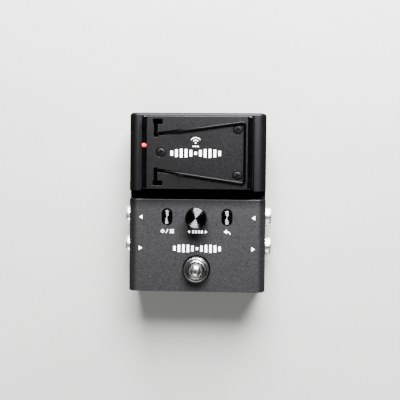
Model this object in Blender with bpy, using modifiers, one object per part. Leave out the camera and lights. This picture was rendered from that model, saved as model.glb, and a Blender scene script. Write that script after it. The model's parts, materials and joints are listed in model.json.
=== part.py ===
"""Wireless guitar set: a pedal receiver with its clip-on transmitter docked in it.

Metres, +Z up. The origin is on the floor under the middle of the pedal, +Y points to the rear
edge with the power inlet and +X to the player's right.
"""

import math

import bmesh
import bpy
from mathutils import Vector

# ---- Driving dimensions ------------------------------------------------------------------------
WIDTH = 0.0800            # pedal housing, across
LENGTH = 0.1045           # pedal housing, front to rear
FACE_TOP = 0.0380         # height of the control face and of the dock rails
RIM = 0.0045              # height of the housing's open lower rim
WALL = 0.0025             # housing wall
EDGE_RADIUS = 0.0050      # long upper edges of the housing
GAP = 0.0003              # clearance between pieces that touch
OVERCUT = 0.0010          # how far a cutter runs past the face it opens

MAT_THICKNESS = 0.0024
MAT_SIDE = 0.0020         # bare strips of the bottom plate beside and beyond the mat
MAT_END = 0.0100
PLATE_THICKNESS = 0.0015
SCREW_RADIUS = 0.0008     # shank of a bottom screw

CHANNEL_FRONT = 0.0020    # finger channel between the control face and the dock
CHANNEL_REAR = 0.0067
CHANNEL_FLOOR = 0.0290
POCKET_HALF_WIDTH = 0.0327
POCKET_REAR = 0.0504
DOCK_FLOOR_TOP = 0.0235   # cast floor under the dock
DOCK_FLOOR_UNDER = 0.0215
DISPLAY_HALF_X = 0.0230   # opening for the display in the dock's floor
DISPLAY_HALF_Y = 0.0120
WINDOW_HALF_X = 0.0240
WINDOW_HALF_Y = 0.0130
MAGNET_RADIUS = 0.0030
CHARGE_PIN_RADIUS = 0.00075
CHARGE_PAD_RADIUS = 0.0015

TX_FRONT = 0.00785        # transmitter, docked
TX_REAR = 0.04985
TX_HALF_LENGTH = 0.0322
TX_BOTTOM = 0.0261
TX_TOP = 0.0441
TX_SEAM = 0.0352          # where its case meets its cover
TX_SHELL_HALF = 0.02906   # half length of the shells between the two end caps
TX_COVER_PLATE = 0.0034
TX_WALL = 0.0020
TX_FLOOR = 0.0015
TX_BOARD_TOP = 0.0328
TX_SCREW_RADIUS = 0.00075
TX_HEAD_RADIUS = 0.0025
TX_SOCKET_RADIUS = 0.0018 # takes a 3.5 mm plug
TX_NOSE_RADIUS = 0.0023
TX_KEY_RADIUS = 0.0020
LED_HALF = 0.0010

REAR_JACK_Y = -0.0087
JACK_PITCH = 0.0182
JACK_Z = 0.0159
SOCKET_RADIUS = 0.00325   # takes a 6.35 mm plug
BUSHING_RADIUS = 0.0046
NUT_RADIUS = 0.0060
NUT_THICKNESS = 0.0040
INLET_NOSE_RADIUS = 0.0044
USB_WIDTH = 0.0090
USB_HEIGHT = 0.0032
CONTROL_Y = -0.0086       # row of the select knob and the two small buttons
BUTTON_X = 0.0175
BUTTON_WIDTH = 0.0056
BUTTON_LENGTH = 0.0092
KNOB_RADIUS = 0.0062
KNOB_TOP = 0.0508
SHAFT_RADIUS = 0.0025
PUSH_ROD_RADIUS = 0.0012
ENCODER_BUSHING_RADIUS = 0.0035
FOOTSWITCH_Y = -0.0387
BARREL_RADIUS = 0.0058    # threaded barrel of the footswitch
PLUNGER_RADIUS = 0.0042
PLUNGER_STEM_RADIUS = 0.0018

CLIP_RADIUS = 0.00075     # steel wire of the belt clip
CLIP_PIVOT_X = -0.0238
CLIP_PIVOT_Z = 0.0425
CLIP_LYING_Z = TX_TOP + CLIP_RADIUS + GAP
CLIP_REACH_X = 0.0273     # the loop's free end
CLIP_ROOT_Y = 0.0102      # half width of the loop at its pivot
CLIP_FREE_Y = 0.0174      # half width of the loop at its free end

# ---- Derived places ----------------------------------------------------------------------------
HALF_WIDTH = WIDTH / 2
HALF_LENGTH = LENGTH / 2
INSIDE_X = HALF_WIDTH - WALL
INSIDE_Y = HALF_LENGTH - WALL
FACE_UNDER = FACE_TOP - WALL
PLATE_TOP = RIM - GAP
PLATE_UNDER = PLATE_TOP - PLATE_THICKNESS
POST = 0.0060             # square corner posts that take the bottom screws
TX_MIDDLE = (TX_FRONT + TX_REAR) / 2
MAIN_BOARD_TOP = 0.0086
BOARD_THICKNESS = 0.0016
CONTROL_BOARD_TOP = 0.0280
BOARD_POST_RADIUS = 0.0020
BOARD_POST_X = 0.0105
BOARD_POST_BACK = 0.0055  # how far the control board's posts stand in front of the control row
TRAY_TOP = TX_BOTTOM - GAP
TRAY_UNDER = DOCK_FLOOR_TOP + GAP
WINDOW_UNDER = TRAY_UNDER + 0.0008
JACK_YS = {"rear": REAR_JACK_Y, "front": REAR_JACK_Y - JACK_PITCH}
SIDES = {"left": -1, "right": 1}
BOTTOM_SCREW_SPOTS = [
    (x * (INSIDE_X - POST / 2), y * (INSIDE_Y - POST / 2)) for y in (1, -1) for x in (-1, 1)
]
TX_SCREW_SPOTS = [
    (-0.0209, TX_MIDDLE),
    (0.0232, TX_MIDDLE + 0.0132),
    (0.0232, TX_MIDDLE - 0.0132),
]
CHARGE_PIN_Y = TX_MIDDLE + 0.0175
CHARGE_PIN_XS = (-0.0030, 0.0030)
PIN_BOSS_HALF_X = 0.0062  # boss under the dock tray that carries the charge pins
PIN_BOSS_HALF_Y = 0.0022
PIN_BOSS_BOTTOM = 0.0195
MAGNET_SPOTS = {"left": (-0.0140, 0.0115), "right": (0.0140, 0.0115)}
TX_JACK_Y = TX_MIDDLE - 0.0090
TX_JACK_Z = 0.0356
TX_POWER_Y = TX_MIDDLE + 0.0100
TX_LED_Y = TX_MIDDLE + 0.0043
INLET_X = 0.0258
INLET_Z = 0.0144
USB_X = -0.0022
USB_Z = MAIN_BOARD_TOP + GAP + 0.0002 + USB_HEIGHT / 2
CLIP_SLOPE = math.atan2(CLIP_FREE_Y - CLIP_ROOT_Y, CLIP_REACH_X - CLIP_PIVOT_X)

ALONG_X = (0, math.pi / 2, 0)     # turns local Z onto X
ALONG_Y = (-math.pi / 2, 0, 0)    # turns local Z onto Y
ACROSS_Y = (math.pi / 2, 0, 0)    # outline drawn in XZ, extruded along Y
ACROSS_X = (math.pi / 2, 0, math.pi / 2)  # outline drawn in YZ, extruded along X
UPRIGHT_SLOT = (math.pi / 2, math.pi / 2, 0)  # pill outline laid flat in XZ, extruded along Y

PAINT = {
    "gunmetal": ((0.095, 0.096, 0.099), 0.42, 0.75),
    "tx_gunmetal": ((0.085, 0.086, 0.088), 0.45, 0.6),
    "black_plastic": ((0.012, 0.012, 0.013), 0.35, 0.0),
    "gloss_black": ((0.006, 0.006, 0.007), 0.12, 0.0),
    "chrome": ((0.78, 0.78, 0.79), 0.12, 1.0),
    "steel": ((0.42, 0.42, 0.43), 0.35, 1.0),
    "black_steel": ((0.02, 0.02, 0.021), 0.3, 0.6),
    "black_anodised": ((0.015, 0.015, 0.017), 0.3, 0.8),
    "gold": ((0.85, 0.62, 0.25), 0.22, 1.0),
    "rubber": ((0.018, 0.018, 0.018), 0.8, 0.0),
    "board": ((0.012, 0.075, 0.035), 0.5, 0.0),
    "glass": ((0.01, 0.01, 0.012), 0.08, 0.0),
    "led_red": ((0.8, 0.02, 0.03), 0.2, 0.0),
    "foil": ((0.55, 0.55, 0.56), 0.45, 0.4),
}


# ---- Scene and material helpers ----------------------------------------------------------------
def clear_scene():
    for obj in list(bpy.data.objects):
        bpy.data.objects.remove(obj)


def collection(name, hidden=False):
    made = bpy.data.collections.new(name)
    bpy.context.scene.collection.children.link(made)
    made.hide_render = hidden
    return made


def material(name):
    found = bpy.data.materials.get(name)
    if found:
        return found
    colour, roughness, metallic = PAINT[name]
    made = bpy.data.materials.new(name)
    made.use_nodes = True
    shader = made.node_tree.nodes["Principled BSDF"]
    shader.inputs["Base Color"].default_value = (*colour, 1)
    shader.inputs["Roughness"].default_value = roughness
    shader.inputs["Metallic"].default_value = metallic
    made.diffuse_color = (*colour, 1)
    return made


def add(name, data, location=(0, 0, 0), rotation=(0, 0, 0)):
    """A new object in the parts collection; finish() or as_cutter() gives it its role."""
    obj = bpy.data.objects.new(name, data)
    PARTS.objects.link(obj)
    obj.location = location
    obj.rotation_euler = rotation
    return obj


def as_cutter(obj):
    PARTS.objects.unlink(obj)
    CUTTERS.objects.link(obj)
    obj.hide_render = True
    obj.display_type = "WIRE"
    return obj


def finish(obj, paint, smooth_angle=35):
    """Gives the piece its material and smooth round surfaces."""
    obj.data.materials.clear()
    obj.data.materials.append(material(paint))
    if obj.type == "MESH":
        obj.data.shade_smooth()
        obj.data.set_sharp_from_angle(angle=math.radians(smooth_angle))
    return obj


# ---- Shape helpers -----------------------------------------------------------------------------
def block(name, low, high):
    """A box between two corners, with its origin at its middle."""
    low, high = Vector(low), Vector(high)
    shape = bmesh.new()
    bmesh.ops.create_cube(shape, size=1)
    bmesh.ops.scale(shape, vec=high - low, verts=shape.verts)
    mesh = bpy.data.meshes.new(name)
    shape.to_mesh(mesh)
    shape.free()
    return add(name, mesh, (low + high) / 2)


def slab(name, half_x, half_y, low, high, x, y):
    """A box about a vertical line, from height low to height high."""
    return block(name, (x - half_x, y - half_y, low), (x + half_x, y + half_y, high))


def rod(name, radius, length, location, rotation=(0, 0, 0), sides=32, tip_radius=None):
    """A cylinder or cone about its own Z, centred on location."""
    shape = bmesh.new()
    bmesh.ops.create_cone(
        shape,
        cap_ends=True,
        segments=sides,
        radius1=radius,
        radius2=radius if tip_radius is None else tip_radius,
        depth=length,
    )
    mesh = bpy.data.meshes.new(name)
    shape.to_mesh(mesh)
    shape.free()
    return add(name, mesh, location, rotation)


def upright(name, radius, low, high, x, y, sides=32):
    """A cylinder about a vertical line, from height low to height high."""
    return rod(name, radius, high - low, (x, y, (low + high) / 2), sides=sides)


def along_x(name, radius, x_near, x_far, y, z, sides=32):
    middle = (x_near + x_far) / 2
    return rod(name, radius, abs(x_far - x_near), (middle, y, z), ALONG_X, sides)


def along_y(name, radius, y_near, y_far, x, z, sides=32):
    middle = (y_near + y_far) / 2
    return rod(name, radius, abs(y_far - y_near), (x, middle, z), ALONG_Y, sides)


def arc(centre_x, centre_y, radius, start, end, steps):
    """Points on an arc, with angles in degrees."""
    angles = [math.radians(start + (end - start) * i / steps) for i in range(steps + 1)]
    return [
        (centre_x + radius * math.cos(a), centre_y + radius * math.sin(a)) for a in angles
    ]


def pill_outline(width, height, steps=10):
    radius = width / 2
    offset = height / 2 - radius
    return arc(0, offset, radius, 0, 180, steps) + arc(0, -offset, radius, 180, 360, steps)


def hexagon(across_flats):
    return arc(0, 0, across_flats / math.sqrt(3), 0, 300, 5)


def rounded_rectangle(half_x, half_y, radius, steps=5):
    x, y = half_x - radius, half_y - radius
    return (
        arc(x, y, radius, 0, 90, steps)
        + arc(-x, y, radius, 90, 180, steps)
        + arc(-x, -y, radius, 180, 270, steps)
        + arc(x, -y, radius, 270, 360, steps)
    )


def plate(name, outline, thickness, location, rotation=(0, 0, 0)):
    """A flat outline, extruded evenly about its own plane, as a welded mesh."""
    curve = bpy.data.curves.new(name, "CURVE")
    curve.dimensions = "2D"
    curve.fill_mode = "BOTH"
    curve.extrude = thickness / 2
    spline = curve.splines.new("POLY")
    spline.points.add(len(outline) - 1)
    for point, (x, y) in zip(spline.points, outline):
        point.co = (x, y, 0, 1)
    spline.use_cyclic_u = True
    return as_mesh(add(name, curve, location, rotation))


def as_mesh(obj):
    """Turns a curve object into a closed mesh object in the same place."""
    name = obj.name
    bpy.context.view_layer.update()
    graph = bpy.context.evaluated_depsgraph_get()
    mesh = bpy.data.meshes.new_from_object(obj.evaluated_get(graph))
    place = obj.matrix_world.copy()
    bpy.data.objects.remove(obj)
    shape = bmesh.new()
    shape.from_mesh(mesh)
    bmesh.ops.remove_doubles(shape, verts=shape.verts, dist=1e-6)
    bmesh.ops.recalc_face_normals(shape, faces=shape.faces)
    shape.to_mesh(mesh)
    shape.free()
    made = add(name, mesh)
    made.matrix_world = place
    return made


def turned(name, profile, location, rotation=(0, 0, 0), steps=40):
    """A lathe shape about its own Z. The profile is (radius, height), down the outer side."""
    mesh = bpy.data.meshes.new(name)
    points = [(radius, 0, height) for radius, height in profile]
    closed = profile[0] != profile[-1] and profile[0][0] > 0 and profile[-1][0] > 0
    edges = [(i, i + 1) for i in range(len(points) - 1)]
    if closed:
        edges.append((len(points) - 1, 0))
    mesh.from_pydata(points, edges, [])
    obj = add(name, mesh, location, rotation)
    screw = obj.modifiers.new("turn", "SCREW")
    screw.axis = "Z"
    screw.steps = screw.render_steps = steps
    screw.use_merge_vertices = True
    screw.merge_threshold = 1e-6
    screw.use_smooth_shade = True
    return obj


def wire(name, points, radius, ring=2):
    """A round wire through the points, with filled ends."""
    curve = bpy.data.curves.new(name, "CURVE")
    curve.dimensions = "3D"
    curve.bevel_depth = radius
    curve.bevel_resolution = ring
    curve.use_fill_caps = True
    spline = curve.splines.new("POLY")
    spline.points.add(len(points) - 1)
    for point, place in zip(spline.points, points):
        point.co = (*place, 1)
    return add(name, curve)


def boolean(target, operation, others):
    for other in others:
        step = target.modifiers.new(f"{operation.lower()} {other.name}", "BOOLEAN")
        step.operation = operation
        step.solver = "EXACT"
        step.object = as_cutter(other)
    return target


def cut(target, *others):
    return boolean(target, "DIFFERENCE", others)


def join(target, *others):
    return boolean(target, "UNION", others)


def round_edges(obj, width, segments=2, angle=40):
    bevel = obj.modifiers.new("round", "BEVEL")
    bevel.width = width
    bevel.segments = segments
    bevel.limit_method = "ANGLE"
    bevel.angle_limit = math.radians(angle)
    return obj


def on_joint(pivot_name, place, *pieces):
    """Hangs the pieces of one moving body on an empty at its joint, without moving them."""
    pivot = bpy.data.objects.new(pivot_name, None)
    PARTS.objects.link(pivot)
    pivot.location = place
    pivot.empty_display_size = 0.005
    bpy.context.view_layer.update()
    for piece in pieces:
        piece.parent = pivot
        piece.matrix_parent_inverse = pivot.matrix_world.inverted()
    return pivot


# ---- Pedal housing -----------------------------------------------------------------------------
def housing_section():
    """Cross-section of the housing: straight sides and two rounded upper edges."""
    x, z, r = HALF_WIDTH, FACE_TOP, EDGE_RADIUS
    return (
        [(x, RIM)]
        + arc(x - r, z - r, r, 0, 90, 7)
        + arc(-x + r, z - r, r, 90, 180, 7)
        + [(-x, RIM)]
    )


def notched_outline(half_x, half_y, notch):
    """A rectangle with a square notch in each corner."""
    x, y, n = half_x, half_y, notch
    return [(-x, n - y), (n - x, n - y), (n - x, -y), (x - n, -y), (x - n, n - y), (x, n - y),
            (x, y - n), (x - n, y - n), (x - n, y), (n - x, y), (n - x, y - n), (-x, y - n)]


def housing_cavities():
    lower = block(
        "lower_cavity", (-INSIDE_X, -INSIDE_Y, RIM - OVERCUT), (INSIDE_X, INSIDE_Y, DOCK_FLOOR_UNDER)
    )
    upper = block(
        "face_cavity",
        (-INSIDE_X, -INSIDE_Y, DOCK_FLOOR_UNDER - OVERCUT),
        (INSIDE_X, CHANNEL_FRONT - WALL, FACE_UNDER),
    )
    pocket = block(
        "dock_pocket",
        (-POCKET_HALF_WIDTH, CHANNEL_FRONT, DOCK_FLOOR_TOP),
        (POCKET_HALF_WIDTH, POCKET_REAR, FACE_TOP + OVERCUT),
    )
    channel = block(
        "finger_channel",
        (-HALF_WIDTH - OVERCUT, CHANNEL_FRONT, CHANNEL_FLOOR),
        (HALF_WIDTH + OVERCUT, CHANNEL_REAR, FACE_TOP + OVERCUT),
    )
    return lower, upper, pocket, channel


def housing_posts():
    """Solid corners that take the bottom screws, and two posts that carry the control board."""
    sink = 0.0008         # how far a post grows into the wall beside it
    posts = []
    for i, (x, y) in enumerate(BOTTOM_SCREW_SPOTS):
        top = FACE_UNDER if y < 0 else DOCK_FLOOR_UNDER
        inward_x = x - math.copysign(POST / 2, x)
        inward_y = y - math.copysign(POST / 2, y)
        outward_x = x + math.copysign(POST / 2 + sink, x)
        outward_y = y + math.copysign(POST / 2 + sink, y)
        posts.append(block(
            f"corner_post_{i}",
            (min(inward_x, outward_x), min(inward_y, outward_y), RIM),
            (max(inward_x, outward_x), max(inward_y, outward_y), top + sink),
        ))
    for side, sign in SIDES.items():
        x, y = sign * BOARD_POST_X, CONTROL_Y - BOARD_POST_BACK
        low, high = CONTROL_BOARD_TOP + GAP, FACE_UNDER + sink
        posts.append(upright(f"board_post_{side}", BOARD_POST_RADIUS, low, high, x, y, sides=20))
    return posts


def dock_floor_openings():
    low, high = DOCK_FLOOR_UNDER - OVERCUT, DOCK_FLOOR_TOP + OVERCUT
    display = slab("display_opening", DISPLAY_HALF_X, DISPLAY_HALF_Y, low, high, 0, TX_MIDDLE)
    boss_x, boss_y = PIN_BOSS_HALF_X + GAP, PIN_BOSS_HALF_Y + GAP
    pins = slab("pin_boss_opening", boss_x, boss_y, low, high, 0, CHARGE_PIN_Y)
    magnets = [
        upright(f"magnet_hole_{side}", MAGNET_RADIUS + GAP, low, high, x, y)
        for side, (x, y) in MAGNET_SPOTS.items()
    ]
    return display, pins, *magnets


def housing_side_holes():
    inside, outside = INSIDE_X - OVERCUT, HALF_WIDTH + OVERCUT
    jacks = [
        along_x(f"jack_hole_{side}_{row}", BUSHING_RADIUS + GAP, sign * inside, sign * outside, y, JACK_Z)
        for side, sign in SIDES.items()
        for row, y in JACK_YS.items()
    ]
    inside, outside = INSIDE_Y - OVERCUT, HALF_LENGTH + OVERCUT
    inlet = along_y("inlet_hole", INLET_NOSE_RADIUS + GAP, inside, outside, INLET_X, INLET_Z)
    usb_size = (USB_HEIGHT + 0.0008, USB_WIDTH + 0.0008)
    usb = plate("usb_hole", pill_outline(*usb_size), WALL + 2 * OVERCUT,
                (USB_X, HALF_LENGTH - WALL / 2, USB_Z), UPRIGHT_SLOT)
    return *jacks, inlet, usb


def housing_face_holes():
    low, high = FACE_UNDER - OVERCUT, FACE_TOP + OVERCUT
    buttons = [
        plate(f"button_hole_{side}", pill_outline(BUTTON_WIDTH + 2 * GAP, BUTTON_LENGTH + 2 * GAP),
              high - low, (sign * BUTTON_X, CONTROL_Y, (low + high) / 2))
        for side, sign in SIDES.items()
    ]
    encoder = upright("encoder_hole", ENCODER_BUSHING_RADIUS + 0.0004, low, high, 0, CONTROL_Y)
    footswitch = upright("footswitch_hole", BARREL_RADIUS + GAP, low, high, 0, FOOTSWITCH_Y)
    pilots = [
        upright(f"pilot_{i}", SCREW_RADIUS + GAP, RIM - OVERCUT, RIM + 0.010, x, y, sides=16)
        for i, (x, y) in enumerate(BOTTOM_SCREW_SPOTS)
    ]
    return *buttons, encoder, footswitch, *pilots


def make_housing():
    housing = plate("housing", housing_section(), LENGTH, (0, 0, 0), ACROSS_Y)
    cut(housing, *housing_cavities())
    join(housing, *housing_posts())
    cut(housing, *dock_floor_openings())
    cut(housing, *housing_side_holes())
    cut(housing, *housing_face_holes())
    finish(housing, "gunmetal")


def make_bottom():
    """The steel plate that closes the housing, its rubber mat and its four screws."""
    plate_middle = (PLATE_TOP + PLATE_UNDER) / 2
    bottom = plate("bottom_plate", rounded_rectangle(HALF_WIDTH, HALF_LENGTH, 0.0010, 2),
                   PLATE_THICKNESS, (0, 0, plate_middle))
    wide, narrow = 0.0033, 0.0017     # ends of each countersunk hole
    holes = [
        rod(f"plate_hole_{i}", wide, PLATE_THICKNESS + 0.0004, (x, y, plate_middle), (0, 0, 0), 24, narrow)
        for i, (x, y) in enumerate(BOTTOM_SCREW_SPOTS)
    ]
    finish(cut(bottom, *holes), "black_steel")

    mat_outline = rounded_rectangle(HALF_WIDTH - MAT_SIDE, HALF_LENGTH - MAT_END, 0.0030, 4)
    mat = plate("rubber_mat", mat_outline, MAT_THICKNESS, (0, 0, MAT_THICKNESS / 2))
    finish(mat, "rubber")

    head, head_height, length = 0.0028, 0.0015, 0.0077
    profile = [(0, length), (SCREW_RADIUS, length), (SCREW_RADIUS, head_height), (head, 0), (0, 0)]
    for i, (x, y) in enumerate(BOTTOM_SCREW_SPOTS, 1):
        screw = turned(f"bottom_screw_{i}", profile, (x, y, PLATE_UNDER + 0.0001), steps=20)
        finish(screw, "steel")


# ---- Dock --------------------------------------------------------------------------------------
def make_dock_tray():
    """The insert in the dock, with a seat for the display's window and a boss for the contacts."""
    tray = block(
        "dock_tray",
        (-POCKET_HALF_WIDTH + GAP, CHANNEL_FRONT + GAP, TRAY_UNDER),
        (POCKET_HALF_WIDTH - GAP, POCKET_REAR - GAP, TRAY_TOP),
    )
    boss_top = TRAY_UNDER + 0.0005
    boss = slab("pin_boss", PIN_BOSS_HALF_X, PIN_BOSS_HALF_Y, PIN_BOSS_BOTTOM, boss_top, 0, CHARGE_PIN_Y)
    seat = slab("window_seat", WINDOW_HALF_X + GAP, WINDOW_HALF_Y + GAP, WINDOW_UNDER - GAP,
                TRAY_TOP + OVERCUT, 0, TX_MIDDLE)
    ledge = 0.0025        # how far the tray reaches under the window's edge
    opening = slab("window_opening", WINDOW_HALF_X - ledge, WINDOW_HALF_Y - ledge,
                   TRAY_UNDER - OVERCUT, TRAY_TOP, 0, TX_MIDDLE)
    low, high = PIN_BOSS_BOTTOM - OVERCUT, TRAY_TOP + OVERCUT
    pin_holes = [
        upright(f"pin_hole_{i}", CHARGE_PIN_RADIUS + GAP, low, high, x, CHARGE_PIN_Y, sides=16)
        for i, x in enumerate(CHARGE_PIN_XS)
    ]
    join(tray, boss)
    cut(tray, seat, opening, *pin_holes)
    finish(tray, "black_plastic")


def make_dock():
    make_dock_tray()
    window = slab("display_window", WINDOW_HALF_X, WINDOW_HALF_Y, WINDOW_UNDER, TRAY_TOP, 0, TX_MIDDLE)
    finish(window, "glass")
    clearance = 0.0005
    module = slab("display_module", DISPLAY_HALF_X - clearance, DISPLAY_HALF_Y - clearance,
                  0.0203, DOCK_FLOOR_TOP, 0, TX_MIDDLE)
    finish(module, "black_plastic")
    for side, (x, y) in MAGNET_SPOTS.items():
        magnet = upright(f"dock_magnet_{side}", MAGNET_RADIUS, 0.0217, DOCK_FLOOR_TOP, x, y, sides=24)
        finish(magnet, "chrome")


def make_charge_pins():
    """Sprung contacts whose tips stand just proud of the tray."""
    tip, low, r = TX_BOTTOM + 0.0006, PIN_BOSS_BOTTOM + 0.0007, CHARGE_PIN_RADIUS
    nose = [(r * math.sin(a), tip - r + r * math.cos(a)) for a in (0.5, 1.0)]
    profile = [(0, tip), *nose, (r, tip - r), (r, low), (0, low)]
    for side, x in zip(SIDES, CHARGE_PIN_XS):
        pin = turned(f"charge_pin_{side}", profile, (x, CHARGE_PIN_Y, 0), steps=16)
        finish(pin, "gold")
        on_joint(f"charge_pin_{side}_joint", (x, CHARGE_PIN_Y, tip), pin)


# ---- Boards and sockets of the receiver --------------------------------------------------------
def make_boards():
    main = plate("main_board", notched_outline(INSIDE_X - GAP, INSIDE_Y - GAP, POST), BOARD_THICKNESS,
                 (0, 0, MAIN_BOARD_TOP - BOARD_THICKNESS / 2))
    finish(main, "board")
    control = block(
        "control_board",
        (-0.0240, CONTROL_Y - 0.0084, CONTROL_BOARD_TOP - BOARD_THICKNESS),
        (0.0240, CONTROL_Y + 0.0076, CONTROL_BOARD_TOP),
    )
    finish(control, "board")
    radio_low = MAIN_BOARD_TOP + GAP
    radio = slab("radio_module", 0.0090, 0.0090, radio_low, radio_low + 0.0026, -0.0200, 0.0210)
    finish(radio, "foil")


def make_jack(side, sign, row, y):
    """A 6.35 mm socket: moulded body, bushing through the side wall and a rounded nut outside."""
    inner, outer, half = 0.0145, INSIDE_X - GAP, 0.0075
    nut_seat = HALF_WIDTH + GAP
    mouth, socket_end = nut_seat + NUT_THICKNESS - 0.0004, inner + 0.0015
    middle = sign * (inner + outer) / 2
    low = MAIN_BOARD_TOP + GAP
    body = slab(f"jack_{side}_{row}", (outer - inner) / 2, half, low, 2 * JACK_Z - low, middle, y)
    bushing_ends = sign * (outer - 0.002), sign * mouth
    bushing = along_x(f"bushing_{side}_{row}", BUSHING_RADIUS, *bushing_ends, y, JACK_Z)
    bore_ends = sign * socket_end, sign * (mouth + OVERCUT)
    bore = along_x(f"socket_{side}_{row}", SOCKET_RADIUS, *bore_ends, y, JACK_Z)
    join(body, bushing)
    cut(body, bore)
    finish(body, "black_plastic")

    bore_radius = BUSHING_RADIUS + GAP
    profile = [(bore_radius, NUT_THICKNESS)]
    profile += [(NUT_RADIUS - 0.0008, NUT_THICKNESS), (NUT_RADIUS - 0.0003, NUT_THICKNESS - 0.0004)]
    profile += [(NUT_RADIUS, NUT_THICKNESS - 0.0012), (NUT_RADIUS, 0), (bore_radius, 0)]
    nut = turned(f"jack_nut_{side}_{row}", profile, (sign * nut_seat, y, JACK_Z), (0, sign * math.pi / 2, 0))
    finish(nut, "chrome")


def make_inlet():
    """A barrel socket for 5.5 by 2.1 mm power plugs."""
    half, front, bore_end, bore_radius, pin_radius = 0.0045, 0.0360, 0.0415, 0.00315, 0.00105
    low = MAIN_BOARD_TOP + GAP
    body = block("dc_jack", (INLET_X - half, front, low), (INLET_X + half, INSIDE_Y - GAP, 2 * INLET_Z - low))
    join(body, along_y("inlet_nose", INLET_NOSE_RADIUS, INSIDE_Y - 0.002, HALF_LENGTH, INLET_X, INLET_Z))
    cut(body, along_y("inlet_bore", bore_radius, bore_end, HALF_LENGTH + OVERCUT, INLET_X, INLET_Z, sides=24))
    finish(body, "black_plastic")
    pin = along_y("dc_pin", pin_radius, bore_end + GAP, HALF_LENGTH - 0.0012, INLET_X, INLET_Z, sides=16)
    finish(round_edges(pin, 0.0003, 1), "chrome")


def make_usb():
    """A reversible USB socket: an oval shell with a tongue in its mouth."""
    depth, skin = 0.0073, 0.0003
    shell_y = HALF_LENGTH - depth / 2
    shell = plate("usb_port", pill_outline(USB_HEIGHT, USB_WIDTH, 6), depth,
                  (USB_X, shell_y, USB_Z), UPRIGHT_SLOT)
    mouth = plate("usb_mouth", pill_outline(USB_HEIGHT - 2 * skin, USB_WIDTH - 2 * skin, 6), depth,
                  (USB_X, shell_y + OVERCUT, USB_Z), UPRIGHT_SLOT)
    tongue = block(
        "usb_tongue",
        (USB_X - 0.0033, HALF_LENGTH - depth + 0.0005, USB_Z - 0.00035),
        (USB_X + 0.0033, HALF_LENGTH - 0.0015, USB_Z + 0.00035),
    )
    finish(join(cut(shell, mouth), tongue), "steel")


# ---- Controls ----------------------------------------------------------------------------------
def make_encoder_body():
    low, high, bushing_top = CONTROL_BOARD_TOP + GAP, 0.0345, 0.0406
    bore_floor = 0.0353
    body = slab("encoder_body", 0.0058, 0.0062, low, high, 0, CONTROL_Y)
    join(body, upright("encoder_bushing", ENCODER_BUSHING_RADIUS, high - OVERCUT, bushing_top, 0, CONTROL_Y))
    shaft_bore = upright("shaft_bore", SHAFT_RADIUS + GAP, bore_floor, bushing_top + OVERCUT,
                         0, CONTROL_Y, sides=24)
    rod_bore = upright("push_rod_bore", PUSH_ROD_RADIUS + 0.0004, low - OVERCUT, bore_floor + 0.0017,
                       0, CONTROL_Y, sides=16)
    cut(body, shaft_bore, rod_bore)
    finish(body, "steel")


def make_select_control():
    """The push rod moves down; the shaft and the knob on it turn, and go down with the rod."""
    rod_top, shaft_top = 0.0357, 0.0480
    push_rod = upright("encoder_push_rod", PUSH_ROD_RADIUS, 0.0289, rod_top, 0, CONTROL_Y, sides=16)
    finish(push_rod, "steel")
    shaft = upright("encoder_shaft", SHAFT_RADIUS, rod_top + GAP, shaft_top, 0, CONTROL_Y, sides=24)
    flat = block("shaft_flat", (0.0017, CONTROL_Y - SHAFT_RADIUS, 0.0415),
                 (SHAFT_RADIUS + OVERCUT, CONTROL_Y + SHAFT_RADIUS, shaft_top + OVERCUT))
    finish(cut(shaft, flat), "steel")

    bottom, skirt_top, skirt_radius, break_edge = FACE_TOP + 0.0010, 0.0412, 0.0043, 0.0006
    bore = SHAFT_RADIUS + GAP
    profile = [(0, KNOB_TOP), (KNOB_RADIUS - break_edge, KNOB_TOP), (KNOB_RADIUS, KNOB_TOP - break_edge)]
    profile += [(KNOB_RADIUS, bottom), (skirt_radius, bottom), (skirt_radius, skirt_top), (bore, skirt_top)]
    profile += [(bore, shaft_top + 0.0004), (0, shaft_top + 0.0004)]
    knob = turned("select_knob", profile, (0, CONTROL_Y, 0), steps=48)
    finish(knob, "black_anodised")

    press = on_joint("select_press_joint", (0, CONTROL_Y, rod_top), push_rod)
    turn = on_joint("select_turn_joint", (0, CONTROL_Y, 0.0400), shaft, knob)
    turn.parent = press
    turn.matrix_parent_inverse = press.matrix_world.inverted()


def make_button(name, x):
    """A pill-shaped key with a flange that keeps it in the face and a stem into its switch."""
    flange_low, flange_high, crown = 0.0342, 0.0351, FACE_TOP + 0.0010
    stem_end, stem_radius, lip = 0.0302, 0.0014, 0.0020
    crown_low = flange_low + 0.0003
    button = plate(f"{name}_button", pill_outline(BUTTON_WIDTH, BUTTON_LENGTH), crown - crown_low,
                   (x, CONTROL_Y, (crown_low + crown) / 2))
    flange = plate(f"{name}_flange", pill_outline(BUTTON_WIDTH + lip, BUTTON_LENGTH + lip),
                   flange_high - flange_low, (x, CONTROL_Y, (flange_low + flange_high) / 2))
    stem = upright(f"{name}_stem", stem_radius, stem_end, flange_high - 0.0001, x, CONTROL_Y, sides=16)
    join(button, flange, stem)
    finish(button, "black_anodised")
    case = slab(f"{name}_switch", 0.0030, 0.0030, CONTROL_BOARD_TOP + GAP, 0.0319, x, CONTROL_Y)
    bore = upright(f"{name}_switch_bore", stem_radius + 0.0004, stem_end - 0.0009, 0.0330, x, CONTROL_Y, 16)
    finish(cut(case, bore), "black_plastic")
    on_joint(f"{name}_press_joint", (x, CONTROL_Y, FACE_TOP), button)


def footswitch_spring_points(low, high, coil_radius, turns=5, per_turn=12):
    count = turns * per_turn
    return [
        (
            coil_radius * math.cos(2 * math.pi * i / per_turn),
            FOOTSWITCH_Y + coil_radius * math.sin(2 * math.pi * i / per_turn),
            low + (high - low) * i / count,
        )
        for i in range(count + 1)
    ]


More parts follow.
